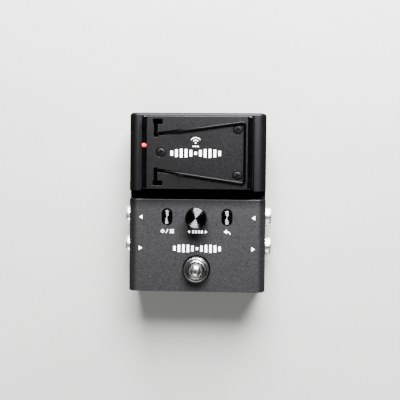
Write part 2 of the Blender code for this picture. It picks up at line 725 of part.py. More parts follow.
def make_footswitch_case():
    """The switch under the face: its case, threaded barrel and the hexagonal nut below the face."""
    y, case_top, barrel_top, half = FOOTSWITCH_Y, 0.0300, 0.0450, 0.0085
    case = slab("footswitch_case", half, half, 0.0180, case_top, 0, y)
    join(case, upright("footswitch_barrel", BARREL_RADIUS, case_top - OVERCUT, barrel_top, 0, y))
    barrel_bore = upright("barrel_bore", PLUNGER_RADIUS + 0.0004, case_top + GAP, barrel_top + OVERCUT, 0, y)
    stem_bore = upright("stem_bore", PLUNGER_STEM_RADIUS + 0.0006, 0.0220, case_top + 0.0020, 0, y, sides=20)
    cut(case, barrel_bore, stem_bore)
    finish(case, "steel")

    thickness, flats = 0.0020, 0.0150
    lock_top = FACE_UNDER - GAP
    lock_bottom = lock_top - thickness
    lock = plate("footswitch_lock_nut", hexagon(flats), thickness, (0, y, (lock_bottom + lock_top) / 2))
    bore = upright("lock_nut_bore", BARREL_RADIUS + GAP, lock_bottom - OVERCUT, lock_top + OVERCUT, 0, y)
    finish(cut(lock, bore), "steel")


def make_footswitch_rings():
    """The washer on the face and the tapered nut above it, both around the barrel."""
    bore, thickness, washer_radius, bevel = BARREL_RADIUS + GAP, 0.0012, 0.0081, 0.0002
    profile = [(bore, thickness), (washer_radius - bevel, thickness), (washer_radius, thickness - bevel)]
    profile += [(washer_radius, 0), (bore, 0)]
    washer = turned("footswitch_washer", profile, (0, FOOTSWITCH_Y, FACE_TOP + GAP))
    finish(washer, "black_plastic")
    height, nut_radius = 0.0044, 0.0073
    profile = [(bore, height), (bore + GAP, height), (nut_radius - GAP, height - 0.0010)]
    profile += [(nut_radius, height - 0.0018), (nut_radius, 0), (bore, 0)]
    nut = turned("footswitch_nut", profile, (0, FOOTSWITCH_Y, FACE_TOP + 2 * GAP + thickness))
    finish(nut, "chrome")


def make_footswitch():
    make_footswitch_case()
    make_footswitch_rings()
    y, crown, rise, shoulder, stem_end = FOOTSWITCH_Y, 0.0462, 0.0048, 0.0375, 0.0254
    dome = [(PLUNGER_RADIUS * math.sin(a), crown + rise * math.cos(a))
            for a in [math.pi / 2 * i / 7 for i in range(8)]]
    stem = [(PLUNGER_STEM_RADIUS, shoulder), (PLUNGER_STEM_RADIUS, stem_end), (0, stem_end)]
    button = turned("footswitch_button", dome + [(PLUNGER_RADIUS, shoulder)] + stem, (0, y, 0), steps=32)
    finish(button, "chrome")
    on_joint("footswitch_press_joint", (0, y, shoulder), button)
    spring = wire("footswitch_spring", footswitch_spring_points(0.0307, 0.0368, 0.0031), 0.00035)
    finish(spring, "steel")


# ---- Transmitter -------------------------------------------------------------------------------
def transmitter_cover_section():
    """Section of the cover: a plate with a short skirt along both long edges."""
    half, r, wall = (TX_REAR - TX_FRONT) / 2, 0.0012, TX_WALL
    skirt_end, under = TX_SEAM + GAP, TX_TOP - TX_COVER_PLATE
    outer = [(half, skirt_end)] + arc(half - r, TX_TOP - r, r, 0, 90, 4)
    outer += arc(-half + r, TX_TOP - r, r, 90, 180, 4) + [(-half, skirt_end)]
    inner = [(wall - half, skirt_end), (wall - half, under), (half - wall, under), (half - wall, skirt_end)]
    return outer + inner


def transmitter_case_section():
    """Section of the case: a tray with rounded lower edges."""
    half, r, wall = (TX_REAR - TX_FRONT) / 2, 0.0015, TX_WALL
    floor = TX_BOTTOM + TX_FLOOR
    outer = [(-half, TX_SEAM)] + arc(-half + r, TX_BOTTOM + r, r, 180, 270, 4)
    outer += arc(half - r, TX_BOTTOM + r, r, 270, 360, 4) + [(half, TX_SEAM)]
    inner = [(half - wall, TX_SEAM), (half - wall, floor), (wall - half, floor), (wall - half, TX_SEAM)]
    return outer + inner


def clip_seat_cutters():
    """Pockets, grooves and run-out slots that take the two ends of the clip wire."""
    floor, top = CLIP_PIVOT_Z - CLIP_RADIUS - GAP, TX_TOP + OVERCUT
    slot_half_length, slot_offset = 0.0082, 0.0076
    slot_half_width = CLIP_RADIUS + 0.0005
    groove_half_width = CLIP_RADIUS + 0.0004
    made = []
    for end, sign in (("rear", 1), ("front", -1)):
        ys = sorted((TX_MIDDLE + sign * 0.0161, TX_MIDDLE + sign * 0.0192))
        made.append(block(f"clip_pocket_{end}", (-0.0254, ys[0], floor), (-0.0200, ys[1], top)))
        ys = sorted((TX_MIDDLE + sign * 0.0086, TX_MIDDLE + sign * 0.0165))
        made.append(block(f"clip_groove_{end}", (CLIP_PIVOT_X - groove_half_width, ys[0], floor),
                          (CLIP_PIVOT_X + groove_half_width, ys[1], top)))
        slot = block(f"clip_slot_{end}", (-slot_half_length, -slot_half_width, floor),
                     (slot_half_length, slot_half_width, top))
        slot.location.x = CLIP_PIVOT_X + slot_offset
        slot.location.y = TX_MIDDLE + sign * (CLIP_ROOT_Y + 0.0078 * math.tan(CLIP_SLOPE))
        slot.rotation_euler.z = sign * CLIP_SLOPE
        made.append(slot)
        ys = sorted((TX_MIDDLE + sign * 0.0190, TX_MIDDLE + sign * 0.0204))
        hole_radius = CLIP_RADIUS + 0.00025
        made.append(along_y(f"clip_hole_{end}", hole_radius, *ys, CLIP_PIVOT_X, CLIP_PIVOT_Z, sides=16))
    return made


def make_transmitter_cover():
    length = 2 * TX_SHELL_HALF
    cover = plate("transmitter_cover", transmitter_cover_section(), length, (0, TX_MIDDLE, 0), ACROSS_X)
    cut(cover, *clip_seat_cutters())
    seat_radius, hole_radius = TX_HEAD_RADIUS + GAP, TX_SCREW_RADIUS + 0.0004
    for i, (x, y) in enumerate(TX_SCREW_SPOTS):
        seat = upright(f"head_seat_{i}", seat_radius, TX_TOP - 0.0012, TX_TOP + OVERCUT, x, y, sides=24)
        hole = upright(f"cover_hole_{i}", hole_radius, 0.0390, TX_TOP, x, y, sides=16)
        cut(cover, seat, hole)
    finish(cover, "tx_gunmetal")


def make_transmitter_case():
    length = 2 * TX_SHELL_HALF
    case = plate("transmitter_case", transmitter_case_section(), length, (0, TX_MIDDLE, 0), ACROSS_X)
    post_top = TX_TOP - TX_COVER_PLATE - GAP
    for i, (x, y) in enumerate(TX_SCREW_SPOTS):
        join(case, upright(f"case_post_{i}", 0.0025, TX_BOTTOM + TX_FLOOR / 2, post_top, x, y, sides=24))
        cut(case, upright(f"post_pilot_{i}", TX_SCREW_RADIUS + GAP, 0.0310, post_top + OVERCUT, x, y, 16))
    for i, x in enumerate(CHARGE_PIN_XS):
        low, high = TX_BOTTOM - OVERCUT, TX_BOTTOM + TX_FLOOR + OVERCUT
        cut(case, upright(f"pad_hole_{i}", CHARGE_PAD_RADIUS + GAP, low, high, x, CHARGE_PIN_Y, sides=20))
    finish(case, "black_plastic")


def make_end_caps():
    for side, sign in SIDES.items():
        xs = sorted((sign * (TX_SHELL_HALF + GAP), sign * TX_HALF_LENGTH))
        cap = block(
            f"transmitter_end_cap_{side}",
            (xs[0], TX_FRONT, TX_BOTTOM + GAP),
            (xs[1], TX_REAR, TX_TOP - GAP),
        )
        if side == "left":
            low, high = xs[0] - OVERCUT, xs[1] + OVERCUT
            cut(
                cap,
                along_x("tx_jack_hole", TX_NOSE_RADIUS + GAP, low, high, TX_JACK_Y, TX_JACK_Z, sides=24),
                along_x("tx_power_hole", TX_KEY_RADIUS + GAP, low, high, TX_POWER_Y, TX_JACK_Z, sides=24),
                block("tx_led_notch", (low, TX_LED_Y - LED_HALF - GAP, 0.0390),
                      (high, TX_LED_Y + LED_HALF + GAP, TX_TOP + OVERCUT)),
            )
        round_edges(cap, 0.0004, 2, 60)
        finish(cap, "gloss_black")


def make_transmitter_fasteners():
    head, r, edge, head_height, length = TX_HEAD_RADIUS, TX_SCREW_RADIUS, 0.0002, 0.0007, 0.0080
    profile = [(0, 0), (head - edge, 0), (head, -0.0003), (head, -head_height)]
    profile += [(r, -head_height), (r, -length), (0, -length)]
    for i, (x, y) in enumerate(TX_SCREW_SPOTS, 1):
        screw = turned(f"transmitter_screw_{i}", profile, (x, y, TX_TOP - 0.0002), steps=24)
        finish(screw, "black_steel")


def make_transmitter_inside():
    board = slab("transmitter_board", 0.0270, 0.0180, TX_BOARD_TOP - 0.0012, TX_BOARD_TOP, 0, TX_MIDDLE)
    low, high = TX_BOARD_TOP - 0.0022, TX_BOARD_TOP + OVERCUT
    cut(board, *[upright(f"board_hole_{i}", 0.0029, low, high, x, y, sides=20)
                 for i, (x, y) in enumerate(TX_SCREW_SPOTS)])
    finish(board, "board")
    on_board = TX_BOARD_TOP + GAP
    radio = slab("transmitter_radio_module", 0.0070, 0.0055, on_board, on_board + 0.0020, -0.0010, 0.0385)
    finish(radio, "foil")
    battery = slab("transmitter_battery", 0.0165, 0.0120, 0.0280, 0.0312, 0.0015, TX_MIDDLE)
    finish(round_edges(battery, 0.0008), "foil")
    on_floor = TX_BOTTOM + TX_FLOOR + GAP
    finish(slab("transmitter_keeper", 0.0180, 0.00215, on_floor, on_floor + 0.0008, 0, 0.01235), "steel")
    for side, x in zip(SIDES, CHARGE_PIN_XS):
        pad = upright(f"charge_pad_{side}", CHARGE_PAD_RADIUS, 0.0270, 0.0282, x, CHARGE_PIN_Y, sides=20)
        finish(pad, "gold")


def make_transmitter_socket():
    """The 3.5 mm input in the left end."""
    inner, outer, mouth, half = -0.0165, -0.0288, -0.0320, 0.0031
    on_board = TX_BOARD_TOP + GAP
    body = block("transmitter_jack", (outer, TX_JACK_Y - half, on_board),
                 (inner, TX_JACK_Y + half, 2 * TX_JACK_Z - on_board))
    nose = along_x("tx_jack_nose", TX_NOSE_RADIUS, mouth, outer + 0.0008, TX_JACK_Y, TX_JACK_Z, sides=24)
    bore = along_x("tx_jack_bore", TX_SOCKET_RADIUS, mouth - OVERCUT, inner - OVERCUT,
                   TX_JACK_Y, TX_JACK_Z, sides=20)
    join(body, nose)
    cut(body, bore)
    finish(body, "steel")


def make_transmitter_lamp():
    """The status lamp in the left end, with the light pipe that holds it under the cover."""
    pipe_low, pipe_half, outer, inner = TX_TOP - TX_COVER_PLATE - 0.0014, 0.0007, -0.0319, -0.0297
    lamp = block("transmitter_led", (outer, TX_LED_Y - LED_HALF, pipe_low),
                 (inner, TX_LED_Y + LED_HALF, TX_TOP - 0.0005))
    pipe = block("light_pipe", (inner - 0.0008, TX_LED_Y - pipe_half, pipe_low),
                 (-0.0262, TX_LED_Y + pipe_half, pipe_low + 0.0010))
    finish(join(lamp, pipe), "led_red")


def make_transmitter_key():
    """The power key in the left end and the switch behind it."""
    half, on_board, outer, flange = 0.0022, TX_BOARD_TOP + GAP, -0.0321, -0.0283
    switch = block("transmitter_power_switch", (-0.0272, TX_POWER_Y - half, on_board),
                   (-0.0240, TX_POWER_Y + half, on_board + 0.0039))
    finish(switch, "black_plastic")
    key = along_x("transmitter_power_button", TX_KEY_RADIUS, outer, flange - 0.0002,
                  TX_POWER_Y, TX_JACK_Z, sides=24)
    join(key, along_x("tx_power_flange", 0.0028, flange - 0.0007, flange, TX_POWER_Y, TX_JACK_Z, sides=24))
    finish(key, "black_plastic")
    on_joint("transmitter_power_joint", (outer, TX_POWER_Y, TX_JACK_Z), key)


def clip_points():
    """Half of the clip wire's centreline, from its hidden end to the middle of its free end."""
    bend, rise_to = 0.0018, -0.0098
    inner_x = CLIP_PIVOT_X + bend
    inner_y = CLIP_ROOT_Y + bend * (1 + math.tan(CLIP_SLOPE))
    outer_x = CLIP_REACH_X - bend
    outer_y = CLIP_FREE_Y - bend * (1 + math.tan(CLIP_SLOPE) / 2)
    slope = math.degrees(CLIP_SLOPE)
    plan = [(CLIP_PIVOT_X, 0.0201), (CLIP_PIVOT_X, 0.0158)]
    plan += arc(inner_x, inner_y, bend, 180, 270 + slope, 6)
    along = (-0.0180, -0.0140, rise_to)
    plan += [(x, inner_y - bend + (x - inner_x) * math.tan(CLIP_SLOPE)) for x in along]
    plan += arc(outer_x, outer_y, bend, 90 + slope, 0, 6) + [(CLIP_REACH_X, 0)]
    points = []
    for x, y in plan:
        share = min(max((x - inner_x) / (rise_to - inner_x), 0), 1)
        points.append((x, y, CLIP_PIVOT_Z + (CLIP_LYING_Z - CLIP_PIVOT_Z) * share))
    return points


def make_clip():
    half = clip_points()
    rear = [(x, TX_MIDDLE + y, z) for x, y, z in half]
    front = [(x, TX_MIDDLE - y, z) for x, y, z in reversed(half[:-1])]
    clip = wire("clip_wire", rear + front, CLIP_RADIUS)
    finish(clip, "black_steel")
    on_joint("clip_joint", (CLIP_PIVOT_X, TX_MIDDLE, CLIP_PIVOT_Z), clip)


# ---- Assembly ----------------------------------------------------------------------------------
clear_scene()
PARTS = collection("wireless_guitar_set")
CUTTERS = collection("cutters", hidden=True)

make_housing()
make_bottom()
make_dock()
make_charge_pins()
make_boards()
for jack_side, jack_sign in SIDES.items():
    for jack_row, jack_y in JACK_YS.items():
        make_jack(jack_side, jack_sign, jack_row, jack_y)
make_inlet()
make_usb()
make_encoder_body()
make_select_control()
make_button("menu", -BUTTON_X)
make_button("back", BUTTON_X)
make_footswitch()
make_transmitter_cover()
make_transmitter_case()
make_end_caps()
make_transmitter_fasteners()
make_transmitter_inside()
make_transmitter_socket()
make_transmitter_lamp()
make_transmitter_key()
make_clip()
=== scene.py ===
"""Looks for the docked wireless guitar set: materials, finely rounded visible pieces, light and camera."""

import json
import math

import bmesh
import bpy
from mathutils import Matrix, Vector


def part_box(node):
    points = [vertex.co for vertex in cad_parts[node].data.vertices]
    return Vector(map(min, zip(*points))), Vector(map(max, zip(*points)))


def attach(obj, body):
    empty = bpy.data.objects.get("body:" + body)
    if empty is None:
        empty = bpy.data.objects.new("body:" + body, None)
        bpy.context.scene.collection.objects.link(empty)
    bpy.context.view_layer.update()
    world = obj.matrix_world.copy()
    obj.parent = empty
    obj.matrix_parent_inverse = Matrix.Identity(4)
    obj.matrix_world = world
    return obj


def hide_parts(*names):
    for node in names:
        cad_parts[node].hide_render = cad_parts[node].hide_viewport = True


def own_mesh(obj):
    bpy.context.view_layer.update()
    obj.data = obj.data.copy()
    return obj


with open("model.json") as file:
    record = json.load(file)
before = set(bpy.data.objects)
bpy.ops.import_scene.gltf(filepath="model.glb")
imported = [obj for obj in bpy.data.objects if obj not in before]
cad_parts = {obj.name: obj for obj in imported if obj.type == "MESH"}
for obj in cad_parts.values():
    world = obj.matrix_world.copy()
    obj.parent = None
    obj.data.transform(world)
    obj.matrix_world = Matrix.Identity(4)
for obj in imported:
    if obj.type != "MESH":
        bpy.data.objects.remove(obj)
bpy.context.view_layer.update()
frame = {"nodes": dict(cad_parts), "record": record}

# ---- Sizes, in metres, taken from the frame or named here ----
GAP = 0.0003                    # clearance between pieces that touch
OVERCUT = 0.0010                # how far a cutter runs past the face it opens
SAME = 1e-6                     # two places closer than this are one
WALL = 0.0025
EDGE_RADIUS = 0.0050            # long upper edges of the housing
REAR_EDGE = 0.0018              # rounding of the housing's rear outline
FRONT_EDGE = 0.0006
CHANNEL_EDGE = 0.0006           # rounding of the control face beside the finger channel
FINE_EDGE = 0.00022             # break on cut edges
DOCK_FLOOR_UNDER = 0.0215
CHANNEL_FLOOR = 0.0290

HOUSING_LOW, HOUSING_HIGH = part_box("housing")
TRAY_LOW, TRAY_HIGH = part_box("dock_tray")
COVER_LOW, COVER_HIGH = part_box("transmitter_cover")
KNOB_LOW, KNOB_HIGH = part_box("select_knob")
FACE = HOUSING_HIGH.z
COVER_TOP = COVER_HIGH.z
TX_MIDDLE = (COVER_LOW.y + COVER_HIGH.y) / 2
CHANNEL = (TRAY_LOW.y - GAP, COVER_LOW.y - 0.00115)   # finger channel, front to rear
JACKS = [f"{side}_{row}" for side in ("left", "right") for row in ("rear", "front")]


def middle(node):
    low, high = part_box(node)
    return (low + high) / 2


# ---- Node materials ----
class Shader:
    """A Principled material with a few short-hands for procedural detail in object space."""

    USUAL_LOW, USUAL_HIGH = 0.3, 0.7    # most of a noise's values lie between these

    def __init__(self, name, colour, roughness, metallic=0.0, **constants):
        self.material = bpy.data.materials.new(name)
        self.material.use_nodes = True
        self.tree = self.material.node_tree
        self.shader = self.tree.nodes["Principled BSDF"]
        self.shader.inputs["Base Color"].default_value = (*colour, 1)
        self.shader.inputs["Roughness"].default_value = roughness
        self.shader.inputs["Metallic"].default_value = metallic
        for socket, value in constants.items():
            self.shader.inputs[socket.replace("_", " ")].default_value = value
        self.place = self.tree.nodes.new("ShaderNodeTexCoord").outputs["Object"]
        self.height = None

    def link(self, source, target):
        self.tree.links.new(source, target)

    def noise(self, size, detail, stretch=(1, 1, 1)):
        """Noise whose features are about `size` metres across, stretched along an axis if asked."""
        mapping = self.tree.nodes.new("ShaderNodeMapping")
        mapping.inputs["Scale"].default_value = [1 / s for s in stretch]
        self.link(self.place, mapping.inputs["Vector"])
        made = self.tree.nodes.new("ShaderNodeTexNoise")
        made.inputs["Scale"].default_value = 1 / size
        made.inputs["Detail"].default_value = detail
        self.link(mapping.outputs["Vector"], made.inputs["Vector"])
        return made.outputs["Fac"]

    def cells(self, size):
        """Small random cells, such as the flakes in a metallic paint."""
        made = self.tree.nodes.new("ShaderNodeTexVoronoi")
        made.inputs["Scale"].default_value = 1 / size
        self.link(self.place, made.inputs["Vector"])
        split = self.tree.nodes.new("ShaderNodeSeparateColor")
        self.link(made.outputs["Color"], split.inputs["Color"])
        return split.outputs["Red"]

    def painted_shade_rearwards(self, front, rear, most):
        """Grows from front to rear along Y; spread() turns it into a share from 0 to most. It masks a painted
        shade.
        """
        split = self.tree.nodes.new("ShaderNodeSeparateXYZ")
        self.link(self.place, split.inputs["Vector"])
        made = self.tree.nodes.new("ShaderNodeMapRange")
        made.inputs["From Min"].default_value = front
        made.inputs["From Max"].default_value = rear
        made.inputs["To Min"].default_value = self.USUAL_LOW
        made.inputs["To Max"].default_value = self.USUAL_LOW + (self.USUAL_HIGH - self.USUAL_LOW) * most
        self.link(split.outputs["Y"], made.inputs["Value"])
        return made.outputs["Result"]

    def spread(self, value, low, high):
        """The 0 to 1 value, stretched about its usual middle range onto low..high."""
        made = self.tree.nodes.new("ShaderNodeMapRange")
        made.inputs["From Min"].default_value = self.USUAL_LOW
        made.inputs["From Max"].default_value = self.USUAL_HIGH
        made.inputs["To Min"].default_value = low
        made.inputs["To Max"].default_value = high
        self.link(value, made.inputs["Value"])
        return made.outputs["Result"]

    def vary_colour(self, value, other):
        mix = self.tree.nodes.new("ShaderNodeMix")
        mix.data_type = "RGBA"
        previous = self.shader.inputs["Base Color"]
        if previous.is_linked:
            self.link(previous.links[0].from_socket, mix.inputs["A"])
        else:
            mix.inputs["A"].default_value = previous.default_value
        mix.inputs["B"].default_value = (*other, 1)
        self.link(self.spread(value, 0, 1), mix.inputs["Factor"])
        self.link(mix.outputs["Result"], previous)

    def vary_roughness(self, value, low, high):
        self.link(self.spread(value, low, high), self.shader.inputs["Roughness"])

    def bump(self, value, depth, strength):
        made = self.tree.nodes.new("ShaderNodeBump")
        made.inputs["Distance"].default_value = depth
        made.inputs["Strength"].default_value = strength
        self.link(value, made.inputs["Height"])
        if self.height is not None:
            self.link(self.height, made.inputs["Normal"])
        self.height = made.outputs["Normal"]
        self.link(self.height, self.shader.inputs["Normal"])


def metallic_paint(name, base, light, roughness, rear=None):
    """Satin dark-grey lacquer with metal flakes and a little orange peel; if asked, painted shade darkens it
    from ahead of the finger channel back over the dock.
    """
    made = Shader(name, base, roughness, 0.95, Specular_Tint=(0.1, 0.1, 0.1, 1))
    made.vary_colour(made.cells(0.00030), light)
    if rear:
        # painted shade: darkens the rear of the control face and the whole dock, as if shaded by the docked
        # transmitter
        made.vary_colour(made.painted_shade_rearwards(CHANNEL[0] - 0.006, CHANNEL[0] + 0.001, 0.72), rear)
    made.vary_roughness(made.noise(0.0008, 4), roughness - 0.02, roughness + 0.03)
    made.bump(made.cells(0.00034), 0.000004, 0.5)
    made.bump(made.noise(0.0009, 2), 0.000004, 0.4)
    return made.material


def moulded_plastic(name, base, roughness):
    made = Shader(name, base, roughness)
    made.vary_colour(made.noise(0.004, 5), [c * 1.5 + 0.002 for c in base])
    made.vary_roughness(made.noise(0.0025, 4), roughness - 0.06, roughness + 0.08)
    made.bump(made.noise(0.00035, 2), 0.00002, 0.6)
    return made.material


def gloss_plastic(name, base):
    made = Shader(name, base, 0.1, Specular_IOR_Level=0.35)
    made.vary_colour(made.noise(0.006, 4), [c * 1.6 + 0.0005 for c in base])
    made.vary_roughness(made.noise(0.003, 6), 0.06, 0.14)
    made.bump(made.noise(0.003, 2), 0.000004, 0.3)
    return made.material


def plated_metal(name, base, roughness, scratch_axis=(1, 1, 1)):
    """Bright plating with faint polishing marks."""
    made = Shader(name, base, roughness, 1.0)
    made.vary_colour(made.noise(0.004, 4), [c * 0.86 for c in base])
    made.vary_roughness(made.noise(0.0008, 6, scratch_axis), roughness * 0.6, roughness * 1.7)
    made.bump(made.noise(0.00045, 3, scratch_axis), 0.000003, 0.4)
    return made.material


def black_coating(name, base, roughness, metallic):
    made = Shader(name, base, roughness, metallic, Specular_IOR_Level=0.12)
    made.vary_colour(made.noise(0.0015, 5), [c * 1.5 for c in base])
    made.vary_roughness(made.noise(0.0012, 5), roughness * 0.92, roughness * 1.1)
    made.bump(made.noise(0.0006, 2), 0.000001, 0.2)
    return made.material


def rubber():
    made = Shader("visible_rubber", (0.018, 0.018, 0.018), 0.85)
    made.vary_colour(made.noise(0.003, 6), (0.035, 0.034, 0.033))
    made.vary_roughness(made.noise(0.001, 4), 0.75, 0.95)
    made.bump(made.noise(0.0006, 5), 0.00008, 0.7)
    return made.material


def circuit_board():
    """Green solder mask with copper tracks showing through."""
    made = Shader("visible_board", (0.006, 0.05, 0.022), 0.4, Coat_Weight=0.4)
    tracks = made.tree.nodes.new("ShaderNodeTexBrick")
    tracks.inputs["Scale"].default_value = 260
    tracks.inputs["Mortar Size"].default_value = 0.035
    tracks.inputs["Color1"].default_value = (0, 0, 0, 1)
    tracks.inputs["Color2"].default_value = (0.35, 0.35, 0.35, 1)
    tracks.inputs["Mortar"].default_value = (1, 1, 1, 1)
    made.link(made.place, tracks.inputs["Vector"])
    made.vary_colour(tracks.outputs["Color"], (0.02, 0.12, 0.05))
    made.vary_roughness(made.noise(0.004, 3), 0.32, 0.5)
    made.bump(tracks.outputs["Color"], 0.00003, 0.5)
    return made.material


def foil():
    made = Shader("visible_foil", (0.5, 0.5, 0.51), 0.4, 0.9)
    made.vary_colour(made.noise(0.004, 5), (0.36, 0.36, 0.38))
    made.vary_roughness(made.noise(0.002, 5), 0.3, 0.5)
    made.bump(made.noise(0.004, 4), 0.0001, 0.5)
    return made.material


def screen_glass():
    made = Shader("visible_glass", (0.16, 0.17, 0.19), 0.04, Transmission_Weight=0.9, IOR=1.45)
    made.vary_roughness(made.noise(0.012, 5), 0.02, 0.07)
    made.bump(made.noise(0.02, 1), 0.00001, 0.2)
    return made.material


def lamp_red():
    made = Shader("visible_lamp", (0.75, 0.02, 0.03), 0.22, Transmission_Weight=0.25,
                  Emission_Color=(1.0, 0.03, 0.06, 1), Emission_Strength=1.3)
    made.vary_colour(made.noise(0.0009, 3), (0.95, 0.1, 0.1))
    made.vary_roughness(made.noise(0.0006, 3), 0.15, 0.3)
    return made.material


# White print whose emission is a painted glow, making the ink brighter than the light falling on it.
def white_ink_glowing():
    made = Shader("visible_white_ink", (0.9, 0.9, 0.91), 0.5,
                  Emission_Color=(1, 1, 1, 1), Emission_Strength=1.6)
    made.vary_colour(made.noise(0.0005, 4), (0.76, 0.76, 0.78))
    made.vary_roughness(made.noise(0.0008, 3), 0.42, 0.6)
    made.bump(made.noise(0.0003, 3), 0.000008, 0.5)
    return made.material


def screen_light():
    made = Shader("visible_screen_light", (0.3, 0.6, 0.9), 0.4,
                  Emission_Color=(0.45, 0.8, 1.0, 1), Emission_Strength=1.5)
    made.vary_colour(made.noise(0.0006, 2), (0.4, 0.7, 1.0))
    return made.material


# the last colour is the painted shade over the dock and the control face's rear edge
PAINT = metallic_paint("visible_housing_paint", (0.052, 0.052, 0.0537), (0.086, 0.086, 0.0885), 0.50,
                       (0.010, 0.010, 0.0102))
TX_PAINT = metallic_paint("visible_transmitter_paint", (0.026, 0.026, 0.0267), (0.043, 0.043, 0.0442), 0.40)
SATIN_CHROME = plated_metal("visible_satin_chrome", (0.36, 0.36, 0.355), 0.28)
NICKEL = plated_metal("visible_nickel", (0.85, 0.85, 0.84), 0.34, (8, 1, 1))
STEEL = plated_metal("visible_steel", (0.42, 0.42, 0.43), 0.34)
GOLD = plated_metal("visible_gold", (0.85, 0.62, 0.25), 0.2)
BLACK_STEEL = black_coating("visible_black_steel", (0.0012, 0.0012, 0.0014), 0.2, 0.0)
SCREW_BLACK = black_coating("visible_screw_black", (0.016, 0.016, 0.0164), 0.45, 0.8)
SPUN_BLACK = black_coating("visible_spun_black", (0.062, 0.062, 0.064), 0.16, 1.0)
BLACK_PLASTIC = moulded_plastic("visible_black_plastic", (0.012, 0.012, 0.013), 0.5)
GLOSS_BLACK = gloss_plastic("visible_gloss_black", (0.0015, 0.0015, 0.0018))
RUBBER = rubber()
BOARD = circuit_board()
FOIL = foil()
GLASS = screen_glass()
LAMP = lamp_red()
INK_GLOWING = white_ink_glowing()
SCREEN_LIGHT = screen_light()

BY_SLOT = {
    "gunmetal": PAINT, "tx_gunmetal": TX_PAINT, "black_plastic": BLACK_PLASTIC,
    "gloss_black": GLOSS_BLACK, "chrome": SATIN_CHROME, "steel": STEEL, "black_steel": BLACK_STEEL,
    "black_anodised": SPUN_BLACK, "gold": GOLD, "rubber": RUBBER, "board": BOARD,
    "glass": GLASS, "led_red": LAMP, "foil": FOIL,
}


# ---- Mesh helpers ----
def add(name, shape):
    """A scene object from a bmesh, which is used up."""
    bmesh.ops.recalc_face_normals(shape, faces=shape.faces)
    mesh = bpy.data.meshes.new(name)
    shape.to_mesh(mesh)
    shape.free()
    obj = bpy.data.objects.new(name, mesh)
    bpy.context.scene.collection.objects.link(obj)
    return obj


def arc(centre, radius, start, end, steps=8):
    angles = [math.radians(start + (end - start) * i / steps) for i in range(steps + 1)]
    return [(centre[0] + radius * math.cos(a), centre[1] + radius * math.sin(a)) for a in angles]


def rectangle(low_u, low_v, high_u, high_v):
    return [(low_u, low_v), (high_u, low_v), (high_u, high_v), (low_u, high_v)]


def pill(width, height, steps=24):
    radius = width / 2
    offset = height / 2 - radius
    return arc((0, offset), radius, 0, 180, steps) + arc((0, -offset), radius, 180, 360, steps)


def circle(centre, radius, steps=48):
    return arc(centre, radius, 0, 360 - 360 / steps, steps - 1)


AXES = {
    "z": Matrix(((1, 0, 0), (0, 1, 0), (0, 0, 1))),
    "y": Matrix(((1, 0, 0), (0, 0, 1), (0, 1, 0))),   # outline in X and Z
    "x": Matrix(((0, 0, 1), (1, 0, 0), (0, 1, 0))),   # outline in Y and Z
}


def prism(name, outline, low, high, along="z"):
    """A flat outline swept from low to high along an axis."""
    turn = AXES[along]
    shape = bmesh.new()
    rim = [shape.verts.new(turn @ Vector((u, v, low))) for u, v in outline]
    face = shape.faces.new(rim)
    grown = bmesh.ops.extrude_face_region(shape, geom=[face])
    moved = [v for v in grown["geom"] if isinstance(v, bmesh.types.BMVert)]
    bmesh.ops.translate(shape, verts=moved, vec=turn @ Vector((0, 0, high - low)))
    return add(name, shape)


def box(name, low, high):
    return prism(name, rectangle(low[0], low[1], high[0], high[1]), low[2], high[2])


def soften(profile, radius, steps=4):
    """Rounds the corners of an open profile of (radius, height) points."""
    made = [Vector(profile[0])]
    for before, corner, after in zip(profile, profile[1:], profile[2:]):
        before, corner, after = Vector(before), Vector(corner), Vector(after)
        into, out = before - corner, after - corner
        reach = min(radius, into.length * 0.45, out.length * 0.45)
        start, end = corner + into.normalized() * reach, corner + out.normalized() * reach
        for i in range(steps + 1):
            t = i / steps
            made.append(start * (1 - t) ** 2 + corner * 2 * t * (1 - t) + end * t ** 2)
    made.append(Vector(profile[-1]))
    return [tuple(p) for p in made]


def turned(name, profile, centre, axis="z", steps=72, wobble=None):
    """A lathe shape. The profile is (radius, height), and a first or last radius of 0 closes it."""
    turn = {"z": Matrix.Identity(3), "-z": Matrix.Rotation(math.pi, 3, "X"),
            "x": Matrix.Rotation(math.pi / 2, 3, "Y"), "-x": Matrix.Rotation(-math.pi / 2, 3, "Y")}[axis]
    shape = bmesh.new()
    rings = []
    for radius, height in profile:
        if radius < 1e-7:
            rings.append([shape.verts.new(turn @ Vector((0, 0, height)))])
            continue
        ring = []
        for i in range(steps):
            a = 2 * math.pi * i / steps
            r = radius + (wobble(a, height, radius) if wobble else 0)
            ring.append(shape.verts.new(turn @ Vector((r * math.cos(a), r * math.sin(a), height))))
        rings.append(ring)
    closed = len(rings[0]) > 1 and len(rings[-1]) > 1
    pairs = list(zip(rings, rings[1:])) + ([(rings[-1], rings[0])] if closed else [])
    for one, two in pairs:
        for i in range(steps):
            j = (i + 1) % steps
            if len(one) == 1:
                shape.faces.new((one[0], two[i], two[j]))
            elif len(two) == 1:
                shape.faces.new((one[i], one[j], two[0]))
            else:
                shape.faces.new((one[i], one[j], two[j], two[i]))
    obj = add(name, shape)
    obj.location = centre
    return obj


def round_wire(name, points, radius, resolution):
    """A closed tube along points; resolution sets how round it is."""
    curve = bpy.data.curves.new(name, "CURVE")
    curve.dimensions, curve.bevel_depth, curve.bevel_resolution = "3D", radius, resolution
    curve.use_fill_caps = True
    spline = curve.splines.new("POLY")
    spline.points.add(len(points) - 1)
    for point, place in zip(spline.points, points):
        point.co = (*place, 1)
    guide = bpy.data.objects.new(name, curve)
    bpy.context.scene.collection.objects.link(guide)
    bpy.context.view_layer.update()
    mesh = bpy.data.meshes.new_from_object(guide.evaluated_get(bpy.context.evaluated_depsgraph_get()))
    bpy.data.objects.remove(guide)
    shape = bmesh.new()
    shape.from_mesh(mesh)
    bmesh.ops.remove_doubles(shape, verts=shape.verts, dist=1e-7)
    return add(name, shape)


